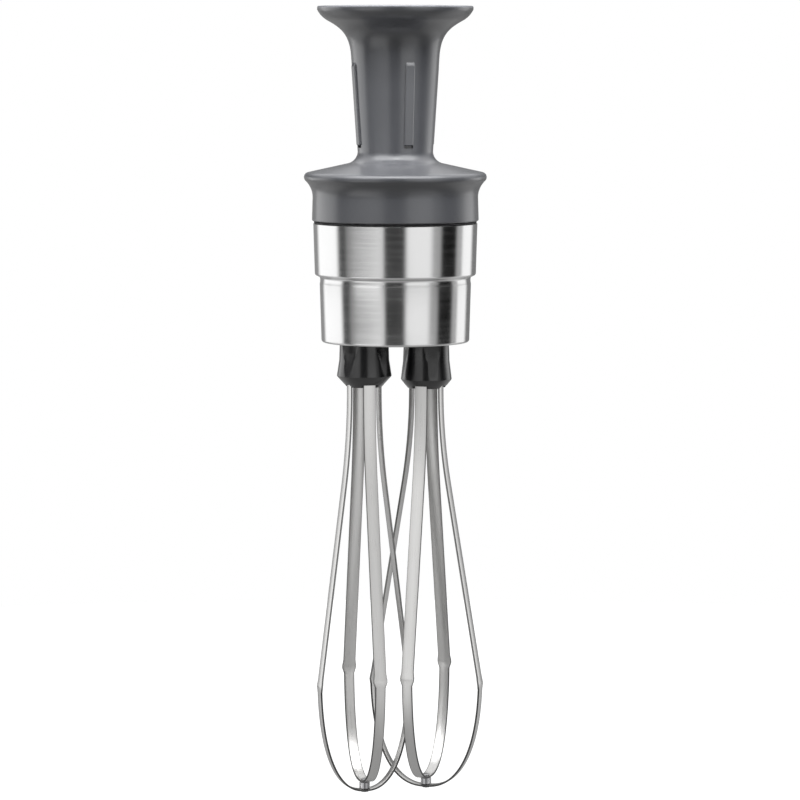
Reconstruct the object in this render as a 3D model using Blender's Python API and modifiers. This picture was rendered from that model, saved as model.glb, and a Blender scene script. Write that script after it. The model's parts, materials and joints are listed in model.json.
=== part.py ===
"""Whisk attachment for a commercial immersion blender.

A moulded head hangs from the motor unit by its flared top. A steel cup under the head
holds a two-stage gearbox, which turns two band whisks in opposite directions.

Lengths are in metres. The head's axis is Z, its top rim lies in the plane z = 0,
everything hangs below it, and the two whisk spindles stand on the X axis.
"""

import math

import bmesh
import bpy
from mathutils import Matrix, Vector

MM = 0.001

# Fits between pieces
SEAT_GAP = 0.3 * MM
OVERCUT = 1.0 * MM
ROOTED = 1.0 * MM
CHAMFER = 0.5 * MM
MERGE_DISTANCE = 0.00001
SHARP_ANGLE = math.radians(32.0)
FLAT_ANGLE = math.radians(0.5)

# Facets round each kind of turned piece
HEAD_STEPS = 28
CASE_STEPS = 24
HUB_STEPS = 24
FLUTE_STEPS = 28
BORE_STEPS = 16
SMALL_STEPS = 14
HOLE_STEPS = 10
SCREW_STEPS = 8

# Head moulding: outside
RIM_RADIUS = 43.5 * MM
RIM_EDGE = 0.9 * MM
LIP_BOTTOM = -2.2 * MM
LIP_DRAFT = 0.1 * MM
FLARE_OVERHANG = 5.3 * MM
FLARE_HEIGHT = -7.8 * MM
NECK_TOP_RADIUS = 24.55 * MM
NECK_TOP = -28.8 * MM
NECK_ROOT_RADIUS = 21.0 * MM
NECK_ROOT = -80.4 * MM
ROOT_FILLET = 7.0 * MM
COLLAR_OVERHANG = 4.8 * MM
COLLAR_HEIGHT = -94.9 * MM
COLLAR_BEAD = 2.8 * MM
CONE_SLOPE = math.radians(12.2)
SKIRT_TOP = -106.0 * MM
SKIRT_FLARE = 0.35 * MM
SKIRT_BOTTOM = -119.3 * MM
SKIRT_EDGE = 0.9 * MM
COLLAR_BEAD_END = -48.0

# Head moulding: how far each curve's handles stand from its two ends
LIP_HANDLES = ((-1.4 * MM, -2.6 * MM), (2.2 * MM, 1.4 * MM))
FLARE_HANDLES = ((-7.7 * MM, -4.2 * MM), (0.65 * MM, 13.3 * MM))
UNDERCUT_HANDLES = ((-1.9 * MM, -1.9 * MM), (0.0 * MM, 4.2 * MM))
MOUTH_HANDLES = ((0.85 * MM, 13.8 * MM), (-10.5 * MM, -7.5 * MM))

# Head moulding: ribs on the neck
RIB_COUNT = 4
RIB_WIDTH = 5.3 * MM
RIB_PROUD = 0.95 * MM
RIB_TOP = -28.6 * MM
RIB_BOTTOM = -77.2 * MM
RIB_ROOTED = 1.5 * MM
RIB_EDGE = 0.35 * MM

# Head moulding: inside
HEAD_WALL = 3.0 * MM
SOCKET_FLOOR = -46.0 * MM
FLOOR_THICKNESS = 4.0 * MM
SEAM_DROP = 0.6 * MM
BEARING_WALL = 3.2 * MM
BEARING_LIP = 3.0 * MM
SHAFT_HOLE_GAP = 1.6 * MM
LUG_COUNT = 2
LUG_WIDTH = 8.0 * MM
LUG_DEPTH = 2.6 * MM
LUG_TOP = -33.5 * MM
LUG_HEIGHT = 4.0 * MM
LUG_ROOTED = 1.0 * MM

# Steel cup
GASKET_HEIGHT = 0.8 * MM
GASKET_WIDTH = 1.5 * MM
GASKET_INSET = 0.35 * MM
CUP_DRAFT = 0.8 * MM
CUP_STEP_WIDTH = 2.75 * MM
CUP_STEP = -150.2 * MM
CUP_WALL = 1.0 * MM
CUP_CORNER = 1.5 * MM
CUP_INNER_CORNER = 0.7 * MM
CUP_SHOULDER_FALL = 0.4 * MM
CUP_SHOULDER_END = -75.0
CUP_TAPER = 0.9 * MM
CUP_WAIST_NECK = 0.3 * MM
CUP_NECK_TOP = 0.2 * MM
CUP_NECK_LOW = 1.2 * MM
CUP_NECK_END = 4.3 * MM
CUP_BOTTOM = -187.0 * MM
CUP_FLOOR = 1.2 * MM

# Gearbox case and cover, inside the cup
CASE_FIT = 0.4 * MM
FLANGE_FIT = 0.65 * MM
GEAR_CLEARANCE = 0.5 * MM
CASE_WALL = 1.6 * MM
CASE_FLOOR = 3.0 * MM
CASE_TOP = -142.3 * MM
CASE_EDGE = 1.3 * MM
COVER_THICKNESS = 4.0 * MM

# Tie screws, from under the cup up into the head
SCREW_INSET = 4.5 * MM
SCREW_ANGLE = math.radians(40.0)
SCREW_RADIUS = 2.0 * MM
SCREW_POINT = 0.6 * MM
SCREW_HEAD_RADIUS = 3.75 * MM
SCREW_HEAD_HEIGHT = 1.75 * MM
SCREW_TIP = -121.0 * MM
SCREW_DRIVE_RADIUS = 1.45 * MM
SCREW_DRIVE_DEPTH = 1.2 * MM
PILLAR_RADIUS = 4.0 * MM

# Input shaft and its bearings
SHAFT_RADIUS = 4.0 * MM
UPPER_BEARING_RADIUS = 11.0 * MM
UPPER_BEARING_WIDTH = 7.0 * MM
LOWER_BEARING_RADIUS = 8.0 * MM
LOWER_BEARING_WIDTH = 5.0 * MM
BEARING_GROOVE = 0.5 * MM
SEAL_HEIGHT = 5.0 * MM
SEAL_LIP = 1.2 * MM
COUPLING_RADIUS = 9.0 * MM
COUPLING_HEIGHT = 11.0 * MM
COUPLING_FLOOR = 4.0 * MM
COUPLING_SOCKET_RADIUS = 6.2 * MM
COUPLING_EDGE = 0.8 * MM
COUPLING_SPLINES = 6
SPLINE_WIDTH = 2.2 * MM
SPLINE_DEPTH = 1.4 * MM
SPLINE_ROOTED = 0.8 * MM
PINION_SEAT = 2.2 * MM
CLIP_THICKNESS = 1.0 * MM
CLIP_WIDTH = 2.0 * MM

# Gear train: module, teeth and face width of each mesh
PRESSURE_ANGLE = math.radians(25.0)
ADDENDUM = 0.9
DEDENDUM = 1.2
BACKLASH = 0.12
SYNC_MODULE = 1.0 * MM
SYNC_TEETH = 37
SYNC_FACE = 8.0 * MM
FINAL_MODULE = 1.0 * MM
FINAL_WHEEL_TEETH = 36
FINAL_PINION_TEETH = 12
FINAL_FACE = 7.0 * MM
FIRST_MODULE = 0.8 * MM
FIRST_WHEEL_TEETH = 38
FIRST_PINION_TEETH = 12
FIRST_FACE = 6.0 * MM
STAGE_GAP = 2.9 * MM
PINION_OVERHANG = 0.6 * MM
WEB_RECESS = 2.0 * MM
RIM_WALL = 2.6 * MM
GEAR_HUB_WALL = 2.6 * MM

# Spindles and layshaft
SPINDLE_RADIUS = 5.0 * MM
JOURNAL_RADIUS = 4.0 * MM
SPINDLE_END = 0.5 * MM
SOCKET_TOP = -163.0 * MM
BUSH_WALL = 2.0 * MM
LOWER_BUSH_HEIGHT = 4.7 * MM
UPPER_BUSH_HEIGHT = 8.0 * MM
SPINDLE_SEAL_WALL = 3.2 * MM
SPINDLE_SEAL_HEIGHT = 3.8 * MM
LAYSHAFT_RADIUS = 3.0 * MM
BOSS_WALL = 2.2 * MM
SHAFT_COLLAR = 1.6 * MM
FLOOR_HOLE_GAP = 1.5 * MM

# Whisks: what both have alike
SHANK_RADIUS = 3.0 * MM
SHANK_TOP = -164.0 * MM
SHANK_FIT = 0.4 * MM
SHANK_FLOOR = 2.0 * MM
LEG_COUNT = 4
LEG_RADIUS = 8.6 * MM
LEG_ANCHOR = 9.0 * MM
BEND_TOP = -214.0 * MM
BEND_BOTTOM = -268.0 * MM
BEND_STEPS = 5
BAND_WIDTH = 7.2 * MM
BOW_WIDTH = 6.0 * MM
EAR_WIDTH = 8.2 * MM
EAR_LENGTH = 1.6 * MM
EAR_BLEND = 3.0 * MM
BAND_THICKNESS = 1.0 * MM
BOW_EXPONENT = 2.4
BOW_START = math.radians(5.0)
BOW_STEPS = 11
OUTER_KINK = -380.5 * MM
OUTER_TIP = -440.5 * MM
INNER_KINK = -375.0 * MM
INNER_TIP = -435.2 * MM
RIVET_RADIUS = 3.0 * MM
RIVET_STEM = 1.2 * MM
RIVET_HEAD_RADIUS = 2.2 * MM
RIVET_HEAD = 0.5 * MM
RIVET_EDGE = 0.2 * MM

# Hubs: edges, grip flutes and band slots
HUB_BELLY = 0.25 * MM
HUB_EDGE_WIDTH = 0.3 * MM
HUB_EDGE_HEIGHT = 0.6 * MM
HUB_FOOT_WIDTH = 1.6 * MM
HUB_FOOT_HEIGHT = 1.9 * MM
FLUTE_COUNT = 4
FLUTE_RADIUS = 17.0 * MM
FLUTE_TOP_DEPTH = 1.9 * MM
FLUTE_RUNOUT = 0.5 * MM
NOTCH_HEIGHT = 1.5 * MM
NOTCH_WIDTH = 8.8 * MM
NOTCH_REACH = 8.0 * MM

# Each whisk has its own size, so that it fits one spindle only
WHISKS = {
    "left": {
        "bulge": 26.6 * MM,
        "turn": math.radians(0.0),
        "hub_top": 13.7 * MM,
        "hub_widest": 15.3 * MM,
        "hub_widest_height": -205.4 * MM,
        "hub_bottom": -211.7 * MM,
        "hub_foot": 9.9 * MM,
        "flute_turn": math.radians(-12.0),
    },
    "right": {
        "bulge": 32.3 * MM,
        "turn": math.radians(-39.6),
        "hub_top": 12.8 * MM,
        "hub_widest": 14.3 * MM,
        "hub_widest_height": -208.4 * MM,
        "hub_bottom": -213.4 * MM,
        "hub_foot": 10.4 * MM,
        "flute_turn": math.radians(-9.0),
    },
}

# Places worked out from the sizes above
SPACING = SYNC_MODULE * SYNC_TEETH
SPINDLE_X = {"left": -SPACING / 2.0, "right": SPACING / 2.0}
FIRST_DISTANCE = FIRST_MODULE * (FIRST_WHEEL_TEETH + FIRST_PINION_TEETH) / 2.0
FINAL_DISTANCE = FINAL_MODULE * (FINAL_WHEEL_TEETH + FINAL_PINION_TEETH) / 2.0
LAYSHAFT_X = (FINAL_DISTANCE**2 - FIRST_DISTANCE**2 - SPINDLE_X["left"] ** 2) / SPACING
LAYSHAFT_Y = math.sqrt(FIRST_DISTANCE**2 - LAYSHAFT_X**2)

GEAR_REACH = SPACING / 2.0 + SYNC_MODULE * (SYNC_TEETH / 2.0 + ADDENDUM)
CASE_RADIUS = GEAR_REACH + GEAR_CLEARANCE + CASE_WALL
SCREW_CIRCLE = CASE_RADIUS - SCREW_INSET
CUP_BASE_RADIUS = CASE_RADIUS + CASE_FIT + CUP_WALL
CUP_WAIST_RADIUS = CUP_BASE_RADIUS + CUP_TAPER
CUP_STEP_RADIUS = CUP_WAIST_RADIUS + CUP_STEP_WIDTH
CUP_RADIUS = CUP_STEP_RADIUS + CUP_DRAFT
CASE_FLANGE_RADIUS = CUP_STEP_RADIUS - CUP_WALL - FLANGE_FIT

SKIRT_RADIUS = CUP_RADIUS + GASKET_INSET
COLLAR_RADIUS = SKIRT_RADIUS + COLLAR_OVERHANG
FLARE_RADIUS = RIM_RADIUS - FLARE_OVERHANG
SEAM = SOCKET_FLOOR - FLOOR_THICKNESS - SEAM_DROP
NECK_TAPER = math.atan2(NECK_TOP_RADIUS - NECK_ROOT_RADIUS, NECK_TOP - NECK_ROOT)
BORE_RADIUS = NECK_TOP_RADIUS - HEAD_WALL
PINION_BORE = PINION_SEAT + SEAT_GAP

GASKET_TOP = SKIRT_BOTTOM - SEAT_GAP
CUP_TOP = GASKET_TOP - GASKET_HEIGHT - SEAT_GAP
CUP_INSIDE_BOTTOM = CUP_BOTTOM + CUP_FLOOR
CASE_BOTTOM = CUP_INSIDE_BOTTOM + SEAT_GAP
CASE_INSIDE_BOTTOM = CASE_BOTTOM + CASE_FLOOR
FLANGE_BOTTOM = CUP_STEP + CUP_WALL + SEAT_GAP
COVER_BOTTOM = CASE_TOP + SEAT_GAP
COVER_TOP = COVER_BOTTOM + COVER_THICKNESS

SPINDLE_SEAL_TOP = CASE_BOTTOM + SPINDLE_SEAL_HEIGHT
LOWER_BUSH_BOTTOM = SPINDLE_SEAL_TOP + SEAT_GAP
LOWER_BUSH_TOP = LOWER_BUSH_BOTTOM + LOWER_BUSH_HEIGHT
SYNC_BOTTOM = LOWER_BUSH_TOP + SEAT_GAP
SYNC_TOP = SYNC_BOTTOM + SYNC_FACE
FINAL_BOTTOM = SYNC_TOP + SEAT_GAP
FINAL_TOP = FINAL_BOTTOM + FINAL_FACE
FIRST_BOTTOM = FINAL_TOP + STAGE_GAP
FIRST_TOP = FIRST_BOTTOM + FIRST_FACE
SHAFT_BOTTOM = FIRST_BOTTOM - PINION_OVERHANG

SEAL_BOTTOM = SOCKET_FLOOR - SEAL_HEIGHT
UPPER_BEARING_TOP = SEAL_BOTTOM - SEAT_GAP
UPPER_BEARING_BOTTOM = UPPER_BEARING_TOP - UPPER_BEARING_WIDTH
UPPER_POCKET_BOTTOM = UPPER_BEARING_BOTTOM - SEAT_GAP
COUPLING_BOTTOM = SOCKET_FLOOR + 2.0 * SEAT_GAP
COUPLING_TOP = COUPLING_BOTTOM + COUPLING_HEIGHT
SHAFT_TOP = COUPLING_BOTTOM + COUPLING_FLOOR
CLIP_TOP = UPPER_POCKET_BOTTOM - BEARING_LIP - SEAT_GAP

LOWER_POCKET_BOTTOM = COVER_BOTTOM - LOWER_BEARING_WIDTH
COVER_BOSS_BOTTOM = LOWER_POCKET_BOTTOM - BOSS_WALL
LOWER_BEARING_BOTTOM = LOWER_POCKET_BOTTOM + SEAT_GAP
UPPER_BUSH_BOTTOM = COVER_BOSS_BOTTOM
JOURNAL_BOTTOM = UPPER_BUSH_BOTTOM - SEAT_GAP
SPINDLE_TOP = UPPER_BUSH_BOTTOM + UPPER_BUSH_HEIGHT - BOSS_WALL
SPINDLE_BOTTOM = CUP_BOTTOM - SPINDLE_END
HUB_TOP = SPINDLE_BOTTOM - SEAT_GAP

FINISHES = {
    "head_plastic": ((0.105, 0.108, 0.118), 0.0, 0.42),
    "brushed_cup_steel": ((0.62, 0.62, 0.62), 1.0, 0.3),
    "hub_plastic": ((0.012, 0.012, 0.013), 0.0, 0.28),
    "band_steel": ((0.55, 0.56, 0.57), 1.0, 0.32),
    "machined_steel": ((0.5, 0.5, 0.52), 1.0, 0.38),
    "gear_plastic": ((0.75, 0.73, 0.66), 0.0, 0.5),
    "case_plastic": ((0.03, 0.03, 0.032), 0.0, 0.55),
    "bush_bronze": ((0.55, 0.33, 0.16), 1.0, 0.45),
    "seal_rubber": ((0.015, 0.015, 0.015), 0.0, 0.8),
}


def clear_scene():
    for obj in list(bpy.data.objects):
        bpy.data.objects.remove(obj, do_unlink=True)


def make_collection(name):
    collection = bpy.data.collections.new(name)
    bpy.context.scene.collection.children.link(collection)
    return collection


def make_finish(name):
    colour, metallic, roughness = FINISHES[name]
    material = bpy.data.materials.new(name)
    material.use_nodes = True
    shader = material.node_tree.nodes["Principled BSDF"]
    shader.inputs["Base Color"].default_value = (*colour, 1.0)
    shader.inputs["Metallic"].default_value = metallic
    shader.inputs["Roughness"].default_value = roughness
    material.diffuse_color = (*colour, 1.0)
    return material


clear_scene()
PARTS = make_collection("whisk_attachment")
CUTTERS = make_collection("cutters")
MATERIALS = {name: make_finish(name) for name in FINISHES}


def make_axis(name, x=0.0, y=0.0):
    """An empty on a turning axis, for the pieces that turn on it."""
    empty = bpy.data.objects.new(name, None)
    empty.location = (x, y, 0.0)
    empty.empty_display_size = 0.02
    PARTS.objects.link(empty)
    return empty


def link_piece(name, mesh, finish, parent):
    """An object for a mesh: a piece where it has a finish, else a cutter."""
    obj = bpy.data.objects.new(name, mesh)
    obj.parent = parent
    if finish is None:
        CUTTERS.objects.link(obj)
        obj.hide_render = True
        obj.display_type = "WIRE"
    else:
        PARTS.objects.link(obj)
        mesh.materials.append(MATERIALS[finish])
    return obj


def arc(centre, radius, start, end, count):
    """Points on an arc in the (radius, height) plane, angles in degrees."""
    points = []
    for i in range(count + 1):
        angle = math.radians(start + (end - start) * i / count)
        points.append((centre[0] + radius * math.cos(angle), centre[1] + radius * math.sin(angle)))
    return points


def bend(start, handles, end, count):
    """Points on a cubic curve, without its first. Its handles are offsets from its ends."""
    first = (start[0] + handles[0][0], start[1] + handles[0][1])
    second = (end[0] + handles[1][0], end[1] + handles[1][1])
    corners = (start, first, second, end)
    points = []
    for i in range(1, count + 1):
        t = i / count
        weights = ((1 - t) ** 3, 3 * t * (1 - t) ** 2, 3 * t * t * (1 - t), t**3)
        points.append(tuple(sum(w * c[axis] for w, c in zip(weights, corners)) for axis in (0, 1)))
    return points


def turned(name, outline, finish=None, parent=None, steps=HEAD_STEPS, closed=True):
    """A body turned about Z. The outline runs down its outer side."""
    mesh = bpy.data.meshes.new(name)
    points = [(radius, 0.0, height) for radius, height in outline]
    edges = [(i, i + 1) for i in range(len(points) - 1)]
    if closed:
        edges.append((len(points) - 1, 0))
    mesh.from_pydata(points, edges, [])
    obj = link_piece(name, mesh, finish, parent)
    screw = obj.modifiers.new("Turn", "SCREW")
    screw.steps = steps
    screw.render_steps = steps
    screw.use_merge_vertices = True
    screw.merge_threshold = MERGE_DISTANCE
    return obj


def rod(name, radius, bottom, top, finish=None, parent=None, steps=SMALL_STEPS, place=(0.0, 0.0)):
    """An upright cylinder, or a prism where steps is small."""
    mesh = bpy.data.meshes.new(name)
    shape = bmesh.new()
    lift = Matrix.Translation((place[0], place[1], (bottom + top) / 2.0))
    bmesh.ops.create_cone(
        shape, cap_ends=True, segments=steps, radius1=radius, radius2=radius,
        depth=top - bottom, matrix=lift,
    )
    shape.to_mesh(mesh)
    shape.free()
    return link_piece(name, mesh, finish, parent)


def block(name, size, matrix, finish=None, parent=None):
    """A box of the given size, placed by a matrix."""
    mesh = bpy.data.meshes.new(name)
    shape = bmesh.new()
    bmesh.ops.create_cube(shape, size=1.0, matrix=matrix @ Matrix.Diagonal((*size, 1.0)))
    shape.to_mesh(mesh)
    shape.free()
    return link_piece(name, mesh, finish, parent)


def ring(name, inner, outer, bottom, top, finish, parent=None, steps=SMALL_STEPS):
    outline = [(inner, top), (outer, top), (outer, bottom), (inner, bottom)]
    return turned(name, outline, finish, parent, steps)


def flat_shape(name, outlines, bottom, top, finish=None, parent=None):
    """A flat shape between two heights. The outlines after the first are its holes."""
    curve = bpy.data.curves.new(name, "CURVE")
    curve.dimensions = "2D"
    curve.fill_mode = "BOTH"
    curve.extrude = (top - bottom) / 2.0
    for outline in outlines:
        spline = curve.splines.new("POLY")
        spline.points.add(len(outline) - 1)
        for point, (x, y) in zip(spline.points, outline):
            point.co = (x, y, 0.0, 1.0)
        spline.use_cyclic_u = True
    holder = bpy.data.objects.new(name + "_outline", curve)
    CUTTERS.objects.link(holder)
    depsgraph = bpy.context.evaluated_depsgraph_get()
    mesh = bpy.data.meshes.new_from_object(holder.evaluated_get(depsgraph))
    bpy.data.objects.remove(holder, do_unlink=True)
    shape = bmesh.new()
    shape.from_mesh(mesh)
    bmesh.ops.remove_doubles(shape, verts=shape.verts, dist=MERGE_DISTANCE)
    bmesh.ops.dissolve_limit(shape, angle_limit=FLAT_ANGLE, verts=shape.verts, edges=shape.edges)
    bmesh.ops.translate(shape, verts=shape.verts, vec=(0.0, 0.0, (bottom + top) / 2.0))
    shape.to_mesh(mesh)
    shape.free()
    mesh.name = name
    mesh.materials.clear()
    return link_piece(name, mesh, finish, parent)


def circle(radius, steps):
    turn = math.tau / steps
    return [(radius * math.cos(i * turn), radius * math.sin(i * turn)) for i in range(steps)]


def combine(obj, tools, operation):
    """Add tools to a piece, or cut them out of it."""
    for tool in tools:
        boolean = obj.modifiers.new(operation.title(), "BOOLEAN")
        boolean.operation = operation
        boolean.solver = "EXACT"
        boolean.object = tool


def settle(obj):
    """Apply the modifiers, and shade smooth up to the sharp edges."""
    bpy.context.view_layer.update()
    depsgraph = bpy.context.evaluated_depsgraph_get()
    mesh = bpy.data.meshes.new_from_object(obj.evaluated_get(depsgraph))
    obj.modifiers.clear()
    obj.data = mesh
    mesh.name = obj.name
    mesh.shade_smooth()
    mesh.set_sharp_from_angle(angle=SHARP_ANGLE)


def screw_places():
    """The four screw centres, mirrored about both axes of the head."""
    x = SCREW_CIRCLE * math.cos(SCREW_ANGLE)
    y = SCREW_CIRCLE * math.sin(SCREW_ANGLE)
    return [(x, y), (-x, y), (-x, -y), (x, -y)]


def spindle_places():
    return [(SPINDLE_X["left"], 0.0), (SPINDLE_X["right"], 0.0)]


# Head moulding


def neck_radius(height):
    """Outer radius of the neck's straight taper at a height."""
    return NECK_ROOT_RADIUS + (height - NECK_ROOT) * math.tan(NECK_TAPER)


def bead_centre():
    return (COLLAR_RADIUS - COLLAR_BEAD, COLLAR_HEIGHT)


def cone_height(radius):
    """Height of the collar's outer cone at a radius."""
    centre = bead_centre()
    top = centre[1] + COLLAR_BEAD * math.cos(CONE_SLOPE)
    return top + (centre[0] + COLLAR_BEAD * math.sin(CONE_SLOPE) - radius) * math.tan(CONE_SLOPE)


def head_outside():
    """The outer side of the head, from the rim down to the skirt's edge."""
    points = arc((RIM_RADIUS - RIM_EDGE, -RIM_EDGE), RIM_EDGE, 90.0, 0.0, 2)
    points.append((RIM_RADIUS - LIP_DRAFT, LIP_BOTTOM))
    lip_end = (FLARE_RADIUS, FLARE_HEIGHT)
    points += bend(points[-1], LIP_HANDLES, lip_end, 2)
    points += bend(lip_end, FLARE_HANDLES, (NECK_TOP_RADIUS, NECK_TOP), 5)
    fillet_centre = (NECK_ROOT_RADIUS + ROOT_FILLET, NECK_ROOT)
    sweep_end = 270.0 - math.degrees(CONE_SLOPE)
    points += arc(fillet_centre, ROOT_FILLET, 180.0 + math.degrees(NECK_TAPER), sweep_end, 4)
    bead_start = 90.0 - math.degrees(CONE_SLOPE)
    points += arc(bead_centre(), COLLAR_BEAD, bead_start, COLLAR_BEAD_END, 4)
    points += bend(points[-1], UNDERCUT_HANDLES, (SKIRT_RADIUS, SKIRT_TOP), 3)
    edge_centre = (SKIRT_RADIUS + SKIRT_FLARE - SKIRT_EDGE, SKIRT_BOTTOM + SKIRT_EDGE)
    points += arc(edge_centre, SKIRT_EDGE, 0.0, -90.0, 2)
    return points


def head_inside():
    """The inner side, from the skirt up to the floor, through it and up the socket."""
    cone_wall = HEAD_WALL / math.cos(CONE_SLOPE)
    cone_outer = SKIRT_RADIUS - 2.0 * HEAD_WALL
    bore_root = neck_radius(SOCKET_FLOOR) - HEAD_WALL
    cavity_top = SOCKET_FLOOR - FLOOR_THICKNESS
    pocket = UPPER_BEARING_RADIUS + SEAT_GAP
    boss = pocket + BEARING_WALL
    boss_bottom = UPPER_POCKET_BOTTOM - BEARING_LIP
    shaft_hole = SHAFT_RADIUS + SHAFT_HOLE_GAP
    neck_inner = neck_radius(NECK_ROOT) - HEAD_WALL
    points = [
        (SKIRT_RADIUS - HEAD_WALL, SKIRT_BOTTOM),
        (SKIRT_RADIUS - HEAD_WALL, COLLAR_HEIGHT - HEAD_WALL),
        (cone_outer, cone_height(cone_outer) - cone_wall),
        (NECK_ROOT_RADIUS + HEAD_WALL, cone_height(NECK_ROOT_RADIUS + HEAD_WALL) - cone_wall),
        (neck_inner, NECK_ROOT - HEAD_WALL / 2.0),
        (neck_radius(cavity_top) - HEAD_WALL, cavity_top),
        (boss, cavity_top),
        (boss, boss_bottom),
        (shaft_hole, boss_bottom),
        (shaft_hole, UPPER_POCKET_BOTTOM),
        (pocket, UPPER_POCKET_BOTTOM),
        (pocket, SOCKET_FLOOR),
        (bore_root, SOCKET_FLOOR),
    ]
    points.append((BORE_RADIUS, NECK_TOP))
    points += bend(points[-1], MOUTH_HANDLES, (RIM_RADIUS - HEAD_WALL, 0.0), 4)
    return points


def make_head():
    head = turned("upper_housing", head_outside() + head_inside(), "head_plastic")
    added = []
    rib_middle = (RIB_TOP + RIB_BOTTOM) / 2.0
    rib_length = (RIB_TOP - RIB_BOTTOM) / math.cos(NECK_TAPER)
    reach = neck_radius(rib_middle) + (RIB_PROUD - RIB_ROOTED) / 2.0
    for i in range(RIB_COUNT):
        turn = Matrix.Rotation(math.tau * i / RIB_COUNT, 4, "Z")
        lean = Matrix.Rotation(NECK_TAPER, 4, "Y")
        place = turn @ Matrix.Translation((reach, 0.0, rib_middle)) @ lean
        rib = block(f"rib_{i + 1}", (RIB_PROUD + RIB_ROOTED, RIB_WIDTH, rib_length), place)
        edge = rib.modifiers.new("Edge", "BEVEL")
        edge.width = RIB_EDGE
        edge.segments = 1
        added.append(rib)
    lug_centre = neck_radius(LUG_TOP) - HEAD_WALL + (LUG_ROOTED - LUG_DEPTH) / 2.0
    lug_size = (LUG_DEPTH + LUG_ROOTED, LUG_WIDTH, LUG_HEIGHT)
    for i in range(LUG_COUNT):
        turn = Matrix.Rotation(math.tau * i / LUG_COUNT, 4, "Z")
        place = turn @ Matrix.Translation((lug_centre, 0.0, LUG_TOP - LUG_HEIGHT / 2.0))
        added.append(block(f"lug_{i + 1}", lug_size, place))
    holes = []
    bottom = COVER_TOP + SEAT_GAP
    pillar_top = cone_height(SCREW_CIRCLE) - HEAD_WALL / 2.0
    for i, place in enumerate(screw_places()):
        added.append(rod(f"head_pillar_{i + 1}", PILLAR_RADIUS, bottom, pillar_top,
                         steps=HOLE_STEPS, place=place))
        holes.append(rod(f"head_hole_{i + 1}", SCREW_RADIUS + SEAT_GAP, bottom - OVERCUT,
                         SCREW_TIP + OVERCUT, steps=HOLE_STEPS, place=place))
    combine(head, added, "UNION")
    combine(head, holes, "DIFFERENCE")
    settle(head)
    split_head(head)


def split_head(head):
    """Part the socket from the collar below it, at the seam under the socket's floor."""
    socket = head.copy()
    socket.data = head.data.copy()
    socket.name = socket.data.name = "socket_shell"
    PARTS.objects.link(socket)
    combine(socket, [socket_space("socket_side", SEAM)], "INTERSECT")
    combine(head, [socket_space("collar_side", SEAM - SEAT_GAP)], "DIFFERENCE")
    settle(socket)
    settle(head)


def socket_space(name, seam):
    """All that lies above a height, with the bearing boss that hangs below it."""
    outer = RIM_RADIUS + OVERCUT
    boss = UPPER_BEARING_RADIUS + SEAT_GAP + BEARING_WALL + OVERCUT
    bottom = UPPER_POCKET_BOTTOM - BEARING_LIP - OVERCUT
    return turned(name, [(0.0, OVERCUT), (outer, OVERCUT), (outer, seam), (boss, seam), (boss, bottom),
                         (0.0, bottom)], closed=False)


# Cup and gasket


def cup_outside():
    """The outer side of the cup, from its top edge down to the middle of its floor."""
    points = [(CUP_RADIUS, CUP_TOP)]
    corner = (CUP_STEP_RADIUS - CUP_CORNER, CUP_STEP + CUP_CORNER + CUP_SHOULDER_FALL)
    points += arc(corner, CUP_CORNER, 0.0, CUP_SHOULDER_END, 2)
    points.append((CUP_WAIST_RADIUS + CUP_WAIST_NECK, CUP_STEP - CUP_NECK_TOP))
    points.append((CUP_WAIST_RADIUS - CUP_WAIST_NECK, CUP_STEP - CUP_NECK_LOW))
    points.append((CUP_WAIST_RADIUS, CUP_STEP - CUP_NECK_END))
    foot = (CUP_BASE_RADIUS - CUP_CORNER, CUP_BOTTOM + CUP_CORNER)
    points += arc(foot, CUP_CORNER, 0.0, -90.0, 3)
    return points


def cup_inside():
    """The inner side of the cup, from its floor up to its top edge."""
    foot = (CUP_BASE_RADIUS - CUP_WALL, CUP_INSIDE_BOTTOM)
    waist = (CUP_WAIST_RADIUS - CUP_WALL, CUP_STEP - CUP_NECK_END)
    shelf = CUP_STEP + CUP_WALL
    return [
        (foot[0] - CUP_INNER_CORNER, foot[1]),
        (foot[0], foot[1] + CUP_INNER_CORNER),
        waist,
        (CUP_WAIST_RADIUS - CUP_WAIST_NECK - CUP_WALL, shelf - CUP_NECK_LOW),
        (CUP_WAIST_RADIUS + CUP_WAIST_NECK - CUP_WALL, shelf),
        (CUP_STEP_RADIUS - CUP_WALL - CUP_INNER_CORNER, shelf),
        (CUP_STEP_RADIUS - CUP_WALL, shelf + CUP_INNER_CORNER),
        (CUP_RADIUS - CUP_WALL, CUP_TOP),
    ]


def make_cup():
    floor_centre = [(0.0, CUP_BOTTOM), (0.0, CUP_INSIDE_BOTTOM)]
    outline = cup_outside() + floor_centre + cup_inside()
    cup = turned("steel_cup", outline, "brushed_cup_steel")
    holes = []
    for i, place in enumerate(spindle_places()):
        holes.append(rod(f"floor_hole_{i + 1}", SPINDLE_RADIUS + FLOOR_HOLE_GAP, CUP_BOTTOM - OVERCUT,
                         CUP_INSIDE_BOTTOM + OVERCUT, steps=BORE_STEPS, place=place))
    for i, place in enumerate(screw_places()):
        holes.append(countersink(f"floor_sink_{i + 1}", place))
    combine(cup, holes, "DIFFERENCE")
    settle(cup)


def make_gasket():
    outer = CUP_RADIUS - GASKET_INSET
    settle(ring("cup_gasket", outer - GASKET_WIDTH, outer, GASKET_TOP - GASKET_HEIGHT, GASKET_TOP,
                "seal_rubber", steps=HEAD_STEPS))


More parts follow.
